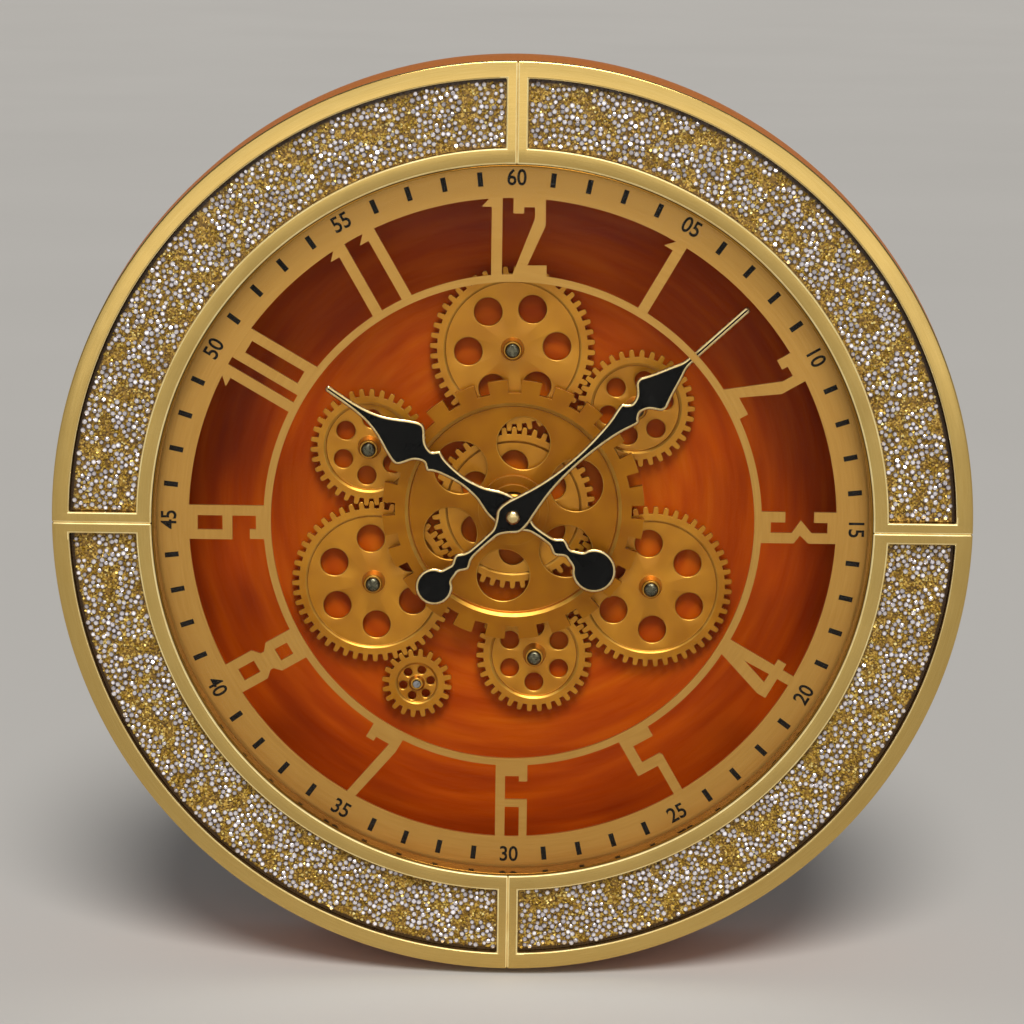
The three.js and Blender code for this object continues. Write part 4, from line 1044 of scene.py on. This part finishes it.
eight = [[
    (-10.2, HEAD_END), (-10.2, 31), (-5.4, 27), (-5.4, 24.5), (-10.2, 20), (-10.2, -ROOT), (11.6, -ROOT),
    (11.6, 20), (7.4, 24.5), (7.4, 27), (11.6, 31), (11.6, HEAD_END)],
    slot_outline(-3.4, 5.3, BAR, 18), slot_outline(-3.4, 5.3, 34, HEAD_BAR)]
nine = [[
    (-13, HEAD_END), (-13, 20.5), (3, 20.5), (3, BAR - 1), (-6, BAR - 1), (-6, 9), (-12.5, 9),
    (-12.5, -ROOT), (9.9, -ROOT), (9.9, HEAD_END)],
    slot_outline(-6.5, 3, 27, HEAD_BAR)]

heads_out = [
    (12, one_at(-12.5)), (12, two_at(8.5)), (1, one_at(0.8)), (2, two_at(0.2)), (3, three), (9, nine),
    (10, one_at(-7.6)), (10, zero_at(12.7)), (11, one_at(-8.7)), (11, one_at(13.1))]
heads_in = [(4, four), (5, five), (6, six), (7, seven), (8, eight)]
print("figures:", len(heads_out) + len(heads_in))

# %% Dial plate
DEGREES_PER_HOUR = 30


def beside(along, side, angle):
    """The (across, up) place this far along an angle and this far to the right of it."""
    turn = math.radians(angle)
    return along * math.sin(turn) + side * math.cos(turn), along * math.cos(turn) - side * math.sin(turn)


def seated(points, hour, head_out):
    """Grid points of a figure, moved to their hour on the dial."""
    angle = hour * DEGREES_PER_HOUR
    if head_out:
        return [beside(THIN_OUTER + rise, across, angle) for across, rise in points]
    return [beside(CHAPTER_INNER - rise, -across, angle) for across, rise in points]


dial = joined(
    "dial_sheet",
    ring_plate("chapter_ring", CHAPTER_INNER, DIAL_RADIUS, DIAL_FRONT, DIAL_REAR),
    ring_plate("thin_ring", THIN_INNER, THIN_OUTER, DIAL_FRONT, DIAL_REAR))
for figures, head_out in ((heads_out, True), (heads_in, False)):
    for hour, (outline, *holes) in figures:
        figure = plate("figure", seated(outline, hour, head_out), DIAL_FRONT, DIAL_REAR)
        for hole in holes:
            combine(figure, plate("hole", seated(hole, hour, head_out), DIAL_FRONT - 1, DIAL_REAR + 1))
        combine(dial, figure, "UNION")
flat_faces(dial)
soften(dial, 0.3)
finished(dial, "clock", dial_gold, "dial_gold", "dial_plate")

# %% [markdown]
# ## Minute print
# Ticks and the minute numbers are printed on the dial in black. Each tick is a thin block; the
# numbers are text objects turned into meshes. On the lower half the numbers stand on their
# heads towards the middle, so that they read upright.

# %% Minute print
PRINT_RADIUS = 226.6
PRINT_THICKNESS = 0.12
TICK = (3.4, PRINT_THICKNESS, 9.2)
NUMBER_SIZE = 14.4
NUMBER_NARROW = 0.9
NUMBER_BOLD = 0.24
DEGREES_PER_MINUTE = 6


def printed_number(minute, place, turn):
    clear_selection()
    bpy.ops.object.text_add()
    text = bpy.context.object.data
    text.body = f"{minute:02d}"
    text.align_x = "CENTER"
    text.align_y = "CENTER"
    text.size = NUMBER_SIZE * MM
    text.extrude = PRINT_THICKNESS / 2 * MM
    text.offset = NUMBER_BOLD * MM
    bpy.ops.object.convert(target="MESH")
    number = named("number")
    number.scale = (NUMBER_NARROW, 1, 1)
    number.rotation_euler = (math.radians(90), math.radians(turn), 0)
    number.location = place
    return settle(number)


marks = []
for minute in range(1, 61):
    angle = minute * DEGREES_PER_MINUTE
    place = clock_point(PRINT_RADIUS, angle, DIAL_FRONT)
    if minute % 5:
        marks.append(block("tick", place, TICK, angle))
    else:
        upright = angle if minute <= 15 or minute >= 45 else angle + 180
        marks.append(printed_number(minute, place, upright))
minute_print = joined("minute_print", *marks)
finished(minute_print, "clock", print_black, "hand_black")

# %% [markdown]
# ## Gears
# A gear is lathe work before its teeth are cut. The section with rim, sunk web and hub is spun
# with eight steps to each tooth, so the rim already has the corners that the teeth need: they
# are picked out by their angle and moved with rotate and resize to the tooth's root and tip.
# One blank is made for each tooth count and copied; the round holes are drilled afterwards,
# because they lie differently in each gear.

# %% Gear sizes and the tooth cutter
MODULE = 2.265
ADDENDUM = 0.65 * MODULE
DEDENDUM = 1.5 * MODULE
ROOT_HALF = 1.85
SHOULDER_HALF = 1.55
TIP_HALF = 1.0
TIP_ROUND = 0.8
GAP_SHARE = 0.39
CORNERS_PER_TOOTH = 8
TOOTH_MIDDLE = 3.5 / CORNERS_PER_TOOTH
RIM_SLACK = 0.05


def pitch_radius(teeth):
    return MODULE * teeth / 2


def shape_teeth(blank, teeth, rim, corners):
    """Moves the rim's vertices to tooth corners: (radius, angle from the start of the pitch)."""
    step = 360 / teeth / len(corners)
    groups = [[] for corner in corners]
    for vertex in blank.data.vertices:
        point = vertex.co / MM
        if out_from_axis(point) > rim - RIM_SLACK:
            place = math.degrees(math.atan2(point.x, point.z)) / step
            groups[round(place) % len(corners)].append(vertex.index)
    for index, (radius, angle) in enumerate(corners):
        pick(blank)
        unselect(blank.data)
        for vertex in groups[index]:
            blank.data.vertices[vertex].select = True
        bpy.ops.object.mode_set(mode="EDIT")
        bpy.ops.mesh.select_mode(type="VERT")
        turn = math.radians(angle - index * step)
        growth = radius / rim
        bpy.ops.transform.rotate(value=-turn, orient_axis="Y", center_override=(0, 0, 0))
        bpy.ops.transform.resize(value=(growth, 1, growth), center_override=(0, 0, 0))
        object_mode()
    return blank


def tooth_corners(teeth):
    """Half of the gap, one round-topped tooth, and half of the next gap."""
    pitch = pitch_radius(teeth)
    root, tip = pitch - DEDENDUM, pitch + ADDENDUM
    side = [(root, GAP_SHARE * 360 * root / teeth * math.pi / 180)]
    side += [(root, ROOT_HALF), (tip - TIP_ROUND, SHOULDER_HALF), (tip, TIP_HALF)]
    turns = [(radius, math.degrees(half / radius)) for radius, half in side]
    middle = TOOTH_MIDDLE * 360 / teeth
    return [(radius, middle - turn) for radius, turn in turns] + [
        (radius, middle + turn) for radius, turn in reversed(turns)]


print("module", MODULE, "mm, teeth", round(ADDENDUM + DEDENDUM, 2), "mm high")

# %% Gear blanks
LARGE_TEETH = 48
MEDIUM_TEETH = 34
PINION_TEETH = 20
GEAR_FRONT = 80.0
GEAR_REAR = 84.5
GEAR_RIM = 5.3
HUB_RADIUS = 7.2
HUB_FRONT = 71.5
HUB_REAR = 86.4
AXLE_BORE = 3.8
LARGE_RECESS = 1.6
MEDIUM_RECESS = 2.8
LIP_SLOPE = 0.56


def gear_blank(name, teeth, recess, lip, bore=AXLE_BORE, hub=HUB_RADIUS, hub_front=HUB_FRONT,
               hub_rear=HUB_REAR):
    """A toothed disc with a sunk web and a hub, its axis on the clock's axis."""
    rim = pitch_radius(teeth)
    sink = rim - DEDENDUM - GEAR_RIM
    web = GEAR_FRONT + recess
    rear = [(bore, GEAR_REAR)]
    if hub_rear > GEAR_REAR:
        rear = [(hub, GEAR_REAR), (hub, hub_rear), (bore, hub_rear)]
    section = [
        (bore, hub_front), (0.8 * hub, hub_front), (0.9 * hub, hub_front + 0.9), (1.1 * hub, web),
        (sink - 0.5 * lip, web), (sink - 0.3 * lip, GEAR_FRONT + LIP_SLOPE * lip),
        (sink + 0.7 * lip, GEAR_FRONT), (rim, GEAR_FRONT), (rim, GEAR_REAR), *rear]
    blank = turned(name, section, CORNERS_PER_TOOTH * teeth)
    shape_teeth(blank, teeth, rim, tooth_corners(teeth))
    return soften(blank, 0.3, angle=20)


large_blank = gear_blank("large_blank", LARGE_TEETH, LARGE_RECESS, 1.2)
medium_blank = gear_blank("medium_blank", MEDIUM_TEETH, MEDIUM_RECESS, 1.6)
pinion_blank = gear_blank("pinion_blank", PINION_TEETH, LARGE_RECESS, 1.2, 2.8, 5.0, 78.0, GEAR_REAR)
centre_blank = gear_blank("centre_blank", LARGE_TEETH, LARGE_RECESS, 1.3, 8.3, 13.0, 66.6)
print("blanks:", large_blank.name, medium_blank.name, pinion_blank.name, centre_blank.name)

# %% Where the gears sit
gears = {"centre": {"teeth": LARGE_TEETH, "at": ON_AXIS, "phase": 0.0}}


def meshes_with(driver, teeth, direction):
    """The place and turn of a gear whose teeth fall into the gaps of its driver."""
    distance = pitch_radius(driver["teeth"]) + pitch_radius(teeth)
    driver_pitches = (direction - driver["phase"]) * driver["teeth"] / 360
    return {
        "teeth": teeth,
        "at": polar(distance, direction, driver["at"]),
        "phase": direction + 180 - (0.5 - driver_pitches) * 360 / teeth,
    }


for name, driver, teeth, direction in (
        ("top", "centre", LARGE_TEETH, 359), ("lower_left", "centre", LARGE_TEETH, 241.1),
        ("lower_right", "centre", LARGE_TEETH, 119.5), ("top_right", "top", MEDIUM_TEETH, 115),
        ("left", "lower_left", MEDIUM_TEETH, 358), ("bottom", "lower_right", MEDIUM_TEETH, 238.3),
        ("pinion", "lower_left", PINION_TEETH, 157)):
    gears[name] = meshes_with(gears[driver], teeth, direction)
print("gears:", *gears)

# %% Drilled gears with a painted highlight
HOLES = 6
COUNTERSINK = 0.55
WEB_SLACK = 0.05

# Depth of the web, radius of the holes and of the circle that they lie on
large_holes = (GEAR_FRONT + LARGE_RECESS, 9.5, 30.0)
medium_holes = (GEAR_FRONT + MEDIUM_RECESS, 6.4, 19.5)
pinion_holes = (GEAR_FRONT + LARGE_RECESS, 2.9, 9.6)
# Blank, holes, angle of the first hole, body
gear_work = {
    "top": (large_blank, large_holes, 26, "top_gear"),
    "lower_left": (large_blank, large_holes, -4, "lower_left_gear"),
    "lower_right": (large_blank, large_holes, -3.5, "lower_right_gear"),
    "centre": (centre_blank, large_holes, 0, "centre_wheels"),
    "top_right": (medium_blank, medium_holes, 15, "top_right_gear"),
    "left": (medium_blank, medium_holes, 5, "left_gear"),
    "bottom": (medium_blank, medium_holes, 0, "bottom_gear"),
    "pinion": (pinion_blank, pinion_holes, 20, "motor_pinion"),
}


def drilled(piece, radius, circle, first, centre, web, rear):
    """Round holes with a countersunk edge, then flat faces made to shade flat."""
    drills = []
    for index in range(HOLES):
        place = polar(circle, first + index * 360 / HOLES, centre)
        drills.append(turned("drill", [
            (0, web - COUNTERSINK), (radius + 2 * COUNTERSINK, web - COUNTERSINK),
            (radius, web + COUNTERSINK), (radius, rear + 1), (0, rear + 1)], 48, place, closed=False))
    combine(piece, joined("drills", *drills))
    pick(piece)
    bpy.ops.object.shade_smooth_by_angle(angle=math.radians(40))
    flat = piece.modifiers.new("flat", "WEIGHTED_NORMAL")
    flat.keep_sharp = True
    bpy.ops.object.modifier_apply(modifier=flat.name)
    return piece


def add_painted_highlight(piece, centre, hub, web):
    """The paler gold, a painted highlight, on a gear's sloping edges, its lip and its hub, down to the web.
    """
    def gets_painted_highlight(face):
        middle = face.center / MM
        radius = math.hypot(middle.x - centre[0], middle.z - centre[1])
        depth = middle.y + CASE_DEPTH / 2
        on_hub = radius < hub and depth < web - WEB_SLACK
        return on_hub or slopes(face) and depth < web - WEB_SLACK + COUNTERSINK
    second_finish(piece, gear_painted_highlight, gets_painted_highlight)


for name, (blank, (web, hole, circle), first, body) in gear_work.items():
    gear = gears[name]
    turn = gear["phase"] - TOOTH_MIDDLE * 360 / gear["teeth"]
    disc = copied(blank, f"toothed_gear_{name}", gear["at"], turn)
    drilled(disc, hole, circle, first, gear["at"], web, GEAR_REAR)
    finished(disc, body, gear_gold, "gear_gold", f"gear_{name}")
    # The paler gold on the lip, the hub and the sloping edges is a painted highlight.
    add_painted_highlight(disc, gear["at"], 1.2 * HUB_RADIUS, web)
throw_away(large_blank, medium_blank, pinion_blank, centre_blank)

# %% [markdown]
# ## Front wheel
# The big wheel in the middle is a heavier casting with square teeth, a deep sunk web, six round
# windows and a stepped hub. It is made like the gears, with eight steps to each tooth so that
# the ends of its teeth and the bottoms of its gaps are round.

# %% Front wheel
WHEEL_TEETH = 24
WHEEL_TIP = 89.0
WHEEL_ROOT = 80.3
WHEEL_RECESS = 72.3
WHEEL_FRONT = 69.5
WHEEL_WEB = 74.0
WHEEL_REAR = 76.0
WHEEL_GAP_SHARE = 0.41
WHEEL_LIP = 2.3
WHEEL_BORE = 13.3
BOSS_RADIUS = 18.0
BOSS_FRONT = 68.0
STEP_RADIUS = 23.8
STEP_FRONT = 70.5
WINDOW_RADIUS = 18.0
WINDOW_CIRCLE = 46.0
FIRST_WINDOW = 8
THIRDS = (0, 1 / 3, 2 / 3, 1)
wheel_pitch = 360 / WHEEL_TEETH
gap_span = wheel_pitch * WHEEL_GAP_SHARE
tooth_span = wheel_pitch - gap_span
wheel_corners = [(WHEEL_ROOT, gap_span * share) for share in THIRDS]
wheel_corners += [(WHEEL_TIP, gap_span + tooth_span * share) for share in THIRDS]

lip_start = WHEEL_RECESS - 1.0
front_wheel = turned("front_casting", [
    (WHEEL_BORE, BOSS_FRONT), (BOSS_RADIUS, BOSS_FRONT), (BOSS_RADIUS, STEP_FRONT),
    (STEP_RADIUS, STEP_FRONT), (STEP_RADIUS, WHEEL_WEB), (WHEEL_RECESS - 1.8, WHEEL_WEB),
    (lip_start, WHEEL_FRONT + WHEEL_LIP * LIP_SLOPE), (lip_start + WHEEL_LIP, WHEEL_FRONT),
    (WHEEL_TIP, WHEEL_FRONT), (WHEEL_TIP, WHEEL_REAR), (WHEEL_BORE, WHEEL_REAR),
], CORNERS_PER_TOOTH * WHEEL_TEETH)
shape_teeth(front_wheel, WHEEL_TEETH, WHEEL_TIP, wheel_corners)
soften(front_wheel, 0.5, angle=20)
front_wheel.rotation_euler = (0, -math.radians(gap_span / 2), 0)
settle(front_wheel)
drilled(front_wheel, WINDOW_RADIUS, WINDOW_CIRCLE, FIRST_WINDOW, ON_AXIS, WHEEL_WEB, WHEEL_REAR)
finished(front_wheel, "centre_wheels", wheel_gold, "gear_gold", "front_wheel")
# The paler gold on the wheel's lip and sloping edges is a painted highlight.
add_painted_highlight(front_wheel, ON_AXIS, 0.0, WHEEL_WEB)

# %% [markdown]
# ## Hands
# Each hand is a black enamelled plate on a gold edge that is rounded off to the sides, so that
# light from above makes its upper edge bright and leaves the lower one in the shade. The half
# width is given at stations along the hand and drawn as a smooth curve; the edge is that outline
# as a round curve made a mesh and squashed, and the enamel lies just behind its crest.

# %% Hand stations
NECK = 2.8
NEEDLE = 2.4
HUB_SHOULDER = 10.8


def bulb_stations(middle, radius, steps=14):
    """The round counterweight at the end of a tail."""
    return [
        (middle - radius * math.cos(math.pi * k / steps), radius * math.sin(math.pi * k / steps))
        for k in range(steps - 1)]


def tip_stations(end):
    """The round end of a needle."""
    middle = end - NEEDLE
    return [
        (middle + NEEDLE * math.sin(turn), NEEDLE * math.cos(turn))
        for turn in (0, math.pi / 6, math.pi / 3, math.pi / 2)]


minute_stations = [
    *bulb_stations(-71.3, 12.7), (-55.0, 4.2), (-52.0, 3.9), (-46.0, 6.7), (-40.0, 3.6), (-34.0, NECK),
    (-20.0, NECK), (-15.0, 3.4), (-10.0, 6.4), (-4.0, HUB_SHOULDER), (4.0, HUB_SHOULDER), (14.0, 8.3),
    (26.0, 5.5), (38.0, 3.7), (50.0, 2.9), (64.0, 2.9), (80.0, 4.1), (92.0, 5.9), (104.0, 8.8),
    (107.0, 6.4), (110.5, 4.5), (116.0, 6.6), (121.0, 12.6), (125.0, 13.7), (128.0, 12.6), (134.0, 10.0),
    (146.0, 5.6), (153.0, 3.0), (160.0, NEEDLE + 0.1), (185.0, NEEDLE), (200.0, NEEDLE), (205.0, NEEDLE),
    *tip_stations(210.0)]
hour_stations = [
    *bulb_stations(-66.3, 15.0), (-48.0, 4.4), (-44.5, 3.6), (-38.0, 6.6), (-32.0, 3.4), (-27.0, NECK),
    (-20.0, NECK), (-15.0, 3.5), (-10.0, 6.4), (-4.0, HUB_SHOULDER), (8.0, HUB_SHOULDER), (16.0, 9.3),
    (22.0, 6.9), (28.0, 4.8), (40.0, 3.2), (52.0, 4.2), (60.0, 6.0), (64.5, 8.2), (67.0, 6.8), (70.0, 4.8),
    (76.0, 7.4), (82.0, 15.0), (86.5, 16.4), (94.0, 13.6), (100.0, 10.5), (106.0, 7.6), (112.0, 5.4),
    (120.0, 3.6), (130.0, NEEDLE + 0.2), (142.0, NEEDLE), (147.0, NEEDLE), *tip_stations(152.0)]
print("stations:", len(minute_stations), "minute,", len(hour_stations), "hour")

# %% Hand outlines
LOOP_LIMIT = 0.96
LEAST_HALF = 0.02


def flowing(stations, steps=5):
    """A smooth line through the stations."""
    points = [Vector(station) for station in stations]
    padded = [2 * points[0] - points[1], *points, 2 * points[-1] - points[-2]]
    line = []
    for before, start, end, after in zip(padded, padded[1:], padded[2:], padded[3:]):
        for k in range(steps):
            t = k / steps
            pull = (end - before) * t + (2 * before - 5 * start + 4 * end - after) * t * t
            line.append(start + 0.5 * (pull + (3 * start - before - 3 * end + after) * t ** 3))
    return line + [points[-1]]


def drawn_in(line, inset):
    """The same line moved towards the middle of the hand, without loops in its tight bends."""
    moved = []
    for index, point in enumerate(line):
        ahead = line[min(index + 1, len(line) - 1)] - line[max(index - 1, 0)]
        normal = Vector((-ahead.y, ahead.x)).normalized()
        inner = point - normal * inset
        if min((inner - other).length for other in line) > LOOP_LIMIT * inset:
            moved.append(Vector((inner.x, max(inner.y, LEAST_HALF))))
    moved[-1].x = line[-1].x - inset
    moved[0].x = line[0].x + inset
    return moved


def hand_outline(line, angle):
    """Both sides of a hand as (across, up) places."""
    right = [beside(point.x, point.y, angle) for point in line]
    return right + [beside(point.x, -point.y, angle) for point in reversed(line)]


print("outline helpers ready")

# %% Plates, beads and cap
EDGE_ROUND = 1.6
EDGE_SQUASH = 0.6
EDGE_LAP = 0.2
ENAMEL_DROP = 0.05
MINUTE_ANGLE = 47.4
MINUTE_FRONT = 44.0
MINUTE_BORE = 2.0
HOUR_ANGLE = 304.0
HOUR_FRONT = 50.0
HOUR_BORE = 3.3
CAP_RADIUS = 4.8
CAP_FRONT = 40.0
CAP_DOME = 2.4
CAP_REAR = 43.7
CAP_STEPS = 8


def make_hand(name, stations, angle, front, bore, body):
    line = flowing(stations)
    black = hand_outline(drawn_in(line, EDGE_ROUND - EDGE_LAP), angle)
    enamel = plate(f"{name}_enamel", black, front + ENAMEL_DROP, front + EDGE_ROUND)
    combine(enamel, rod("bore", bore, front - 1, front + 3), solver="EXACT")
    finished(enamel, body, hand_black, "hand_black", name)

    crest = hand_outline(drawn_in(line, EDGE_ROUND), angle)
    path = [in_space(place, front + EDGE_ROUND) for place in crest]
    bead = chain(f"{name}_bead", path + [path[0].copy()])
    edit(bead)
    bpy.ops.mesh.remove_doubles(threshold=CLOSE)
    object_mode()
    bpy.ops.object.convert(target="CURVE")
    curve = bpy.context.object.data
    curve.dimensions = "3D"
    curve.bevel_depth = EDGE_ROUND * MM
    curve.bevel_resolution = 3
    bpy.ops.object.convert(target="MESH")
    bead = named(f"{name}_bead")
    edit(bead)
    bpy.ops.transform.resize(value=(1, EDGE_SQUASH, 1), center_override=(0, at_depth(front), 0))
    close_up(bead)
    pick(bead)
    bpy.ops.object.shade_smooth()
    finished(bead, body, bead_gold, "brass_fitting")


make_hand("minute_hand", minute_stations, MINUTE_ANGLE, MINUTE_FRONT, MINUTE_BORE, "minute_arbor")
make_hand("hour_hand", hour_stations, HOUR_ANGLE, HOUR_FRONT, HOUR_BORE, "hour_arbor")

dome = [(0, CAP_FRONT)]
for step in range(1, CAP_STEPS + 1):
    lift = math.radians(90 - 90 * step / CAP_STEPS)
    dome.append((CAP_RADIUS * math.cos(lift), CAP_FRONT + CAP_DOME * (1 - math.sin(lift))))
hand_cap = turned("cap_dome", [*dome, (CAP_RADIUS, CAP_REAR), (0, CAP_REAR)], 48, closed=False)
soften(hand_cap, 0.2)
finished(hand_cap, "minute_arbor", bead_gold, "brass_fitting", "hand_cap")

# %% [markdown]
# ## Screws
# Six pan-head screws hold the gears on their axles, and smaller ones hold the panel and the
# hanger from behind. One of each kind is turned, its cross is cut with two thin blocks, and the
# rest are copies, each turned a little further than the one before.

# %% Screws
PANEL_REAR = 93.0
PANEL_SCREW_CIRCLE = 289.0
HANGER_SEAT = 95.6
HANGER_UP = 240.0
HANGER_REACH = 36.0
SMALL_HEAD = 3.2
SMALL_CROWN = 1.8
SMALL_SHANK = 1.5
CROSS_WIDTH = 0.36
CROSS_LENGTH = 1.36
CROSS_DEPTH = 1.8


def pan_screw(name, head, crown, seat, shank, tip):
    """A pan-head screw on the clock's axis. Its crown may point to the front or to the rear."""
    rise = seat - crown
    section = [
        (0, crown), (0.5 * head, crown + 0.06 * rise), (0.78 * head, crown + 0.22 * rise),
        (0.94 * head, crown + 0.5 * rise), (head, crown + 0.8 * rise), (head, seat), (shank, seat),
        (shank, tip), (0, tip)]
    screw = turned(name, section, 32, closed=False)
    for across, up in ((CROSS_WIDTH, CROSS_LENGTH), (CROSS_LENGTH, CROSS_WIDTH)):
        sizes = (across * head, abs(rise) * CROSS_DEPTH, up * head)
        combine(screw, block("cross", clock_point(0, 0, crown), sizes))
    return soften(screw, 0.12)


def set_screws(pattern, finish, turn, rows):
    """Copies of a screw at rows of a piece's name, its solid and its centre."""
    for index, (name, cad_node, centre) in enumerate(rows):
        screw = copied(pattern, name, centre, turn * index)
        finished(screw, "clock", finish, "steel", cad_node)
    throw_away(pattern)


outer_gears = ("top", "top_right", "left", "lower_left", "lower_right", "bottom")
gear_screw = pan_screw("gear_screw", head=5.0, crown=68.2, seat=70.8, shank=1.8, tip=79.8)
set_screws(gear_screw, screw_bronze, 17, [
    (f"pan_screw_{name}", f"gear_screw_{name}", gears[name]["at"]) for name in outer_gears])

screw_seat = PANEL_REAR + FIT
screw_crown = screw_seat + SMALL_CROWN
panel_screw = pan_screw("panel_screw", SMALL_HEAD, screw_crown, screw_seat, SMALL_SHANK, 86.0)
set_screws(panel_screw, steel, 23, [
    (f"panel_pan_screw_{index + 1}", f"panel_screw_{index + 1}", polar(PANEL_SCREW_CIRCLE, 45 + 90 * index))
    for index in range(4)])

hanger_crown = HANGER_SEAT + SMALL_CROWN
hanger_screw = pan_screw("hanger_screw", SMALL_HEAD, hanger_crown, HANGER_SEAT, SMALL_SHANK, 91.0)
set_screws(hanger_screw, steel, 31, [
    ("hanger_pan_screw_1", "hanger_screw_1", (-HANGER_REACH, HANGER_UP)),
    ("hanger_pan_screw_2", "hanger_screw_2", (HANGER_REACH, HANGER_UP))])

# %% [markdown]
# ## Fittings at the back
# The movement, the motor, their cells, the knob and the hanger are bought-in parts whose solids
# already have the right shape. A copy of each solid is merged, its flat faces are run together,
# and its edges are rounded as a mould or a press leaves them.

# %% Fittings at the back


def rounded_copy(cad_node, name, width):
    copy = bpy.data.objects.new(name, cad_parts[cad_node].data.copy())
    scene.collection.objects.link(copy)
    close_up(copy)
    flat_faces(copy)
    return soften(copy, width)


for cad_node, width, body, finish, slot in (
        ("movement_housing", 0.8, "clock", black_plastic, "black_plastic"),
        ("gear_motor_housing", 1.0, "clock", black_plastic, "black_plastic"),
        ("movement_cell", 0.4, "clock", cell_wrap, "cell_wrap"),
        ("motor_cell", 0.4, "clock", cell_wrap, "cell_wrap"),
        ("time_set_knob", 0.4, "set_knob", white_plastic, "white_plastic"),
        ("hanger_bracket", 0.5, "clock", steel, "steel"),
        ("movement_nut", 0.4, "clock", brass_fitting, "brass_fitting"),
        ("centre_bush", 0.3, "clock", steel, "steel")):
    fitting = rounded_copy(cad_node, f"{cad_node}_dressed", width)
    finished(fitting, body, finish, slot, cad_node)

# %% [markdown]
# ## Solids that stay
# The panel, the axles, the shafts and the hidden screws are right as they are. They keep their
# solids and only get a finish.

# %% Finishes for the solids that stay
kept_finishes = {"back_panel": panel_orange, "hour_tube": brass_fitting}
kept_finishes.update({"minute_shaft": steel, "motor_shaft": steel})
kept_finishes.update({f"axle_{name}": steel for name in outer_gears})
kept_finishes.update({f"dial_screw_{index}": steel for index in range(1, 5)})
for cad_node, finish in kept_finishes.items():
    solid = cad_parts[cad_node]
    solid.data.materials.clear()
    solid.data.materials.append(finish)
print("kept solids:", len(kept_finishes))

# %% [markdown]
# ## Floor and light
# A plain pale floor that sweeps up far behind, a pale sky of even light, a broad soft key from
# above and in front, and a wide panel of light behind the camera that the golds can reflect.

# %% Floor
FLOOR_SWEEP = [
    (0, 0), (4, 0), (8, 0.03), (14, 0.2), (22, 0.7), (32, 1.8), (46, 4.2), (64, 8.6), (90, 17.0)]
FLOOR_GAP = 0.002

floor_level = cad_low.z - FLOOR_GAP
floor = chain("studio_floor", [Vector((radius, 0, floor_level + rise)) for radius, rise in FLOOR_SWEEP])
edit(floor)
bpy.ops.mesh.spin(steps=96, angle=FULL_TURN, center=(0, 0, floor_level), axis=(0, 0, 1))
close_up(floor)
pick(floor)
bpy.ops.object.shade_smooth()
floor_pale = new_finish("floor_pale", (204, 202, 199), 0.0, 0.85, Specular_IOR_Level=0.05)
tint(object_noise(floor_pale, 0.7), (0.3, 203, 201, 198), (0.7, 206, 204, 201))
floor.data.materials.append(floor_pale)
print("floor at", round(floor_level, 4))

# %% World and lamps
SKY_COLOUR = (0.97, 0.985, 1.0, 1.0)
SKY_STRENGTH = 0.15
KEY_PLACE = (0.15, -1.9, 2.2)
KEY_STRENGTH = 2.4
KEY_ANGLE = math.radians(24)
KEY_COLOUR = (1.0, 0.97, 0.92)
SOFTBOX_PLACE = (0.1, -4.5, 1.35)
SOFTBOX_TARGET = (0.1, 0, 1.35)
SOFTBOX_WIDTH = 5.0
SOFTBOX_HEIGHT = 3.0
SOFTBOX_WATTS = 38

world = bpy.data.worlds.new("studio")
scene.world = world
world.use_nodes = True
sky = world.node_tree.nodes["Background"]
sky.inputs["Color"].default_value = SKY_COLOUR
sky.inputs["Strength"].default_value = SKY_STRENGTH


def new_lamp(kind, name, place, target, energy):
    """A lamp that points at its target."""
    clear_selection()
    bpy.ops.object.light_add(type=kind, location=place)
    lamp = bpy.context.object
    lamp.name = name
    lamp.data.energy = energy
    direction = Vector(target) - lamp.location
    lamp.rotation_euler = direction.to_track_quat("-Z", "Y").to_euler()
    return lamp.data


key = new_lamp("SUN", "soft_key", KEY_PLACE, (0, 0, 0), KEY_STRENGTH)
key.angle = KEY_ANGLE
key.color = KEY_COLOUR
softbox = new_lamp("AREA", "front_panel", SOFTBOX_PLACE, SOFTBOX_TARGET, SOFTBOX_WATTS)
softbox.shape = "RECTANGLE"
softbox.size = SOFTBOX_WIDTH
softbox.size_y = SOFTBOX_HEIGHT

# %% [markdown]
# ## Clear the selection
# The script ends with nothing selected.

# %% Clear the selection
clear_selection()
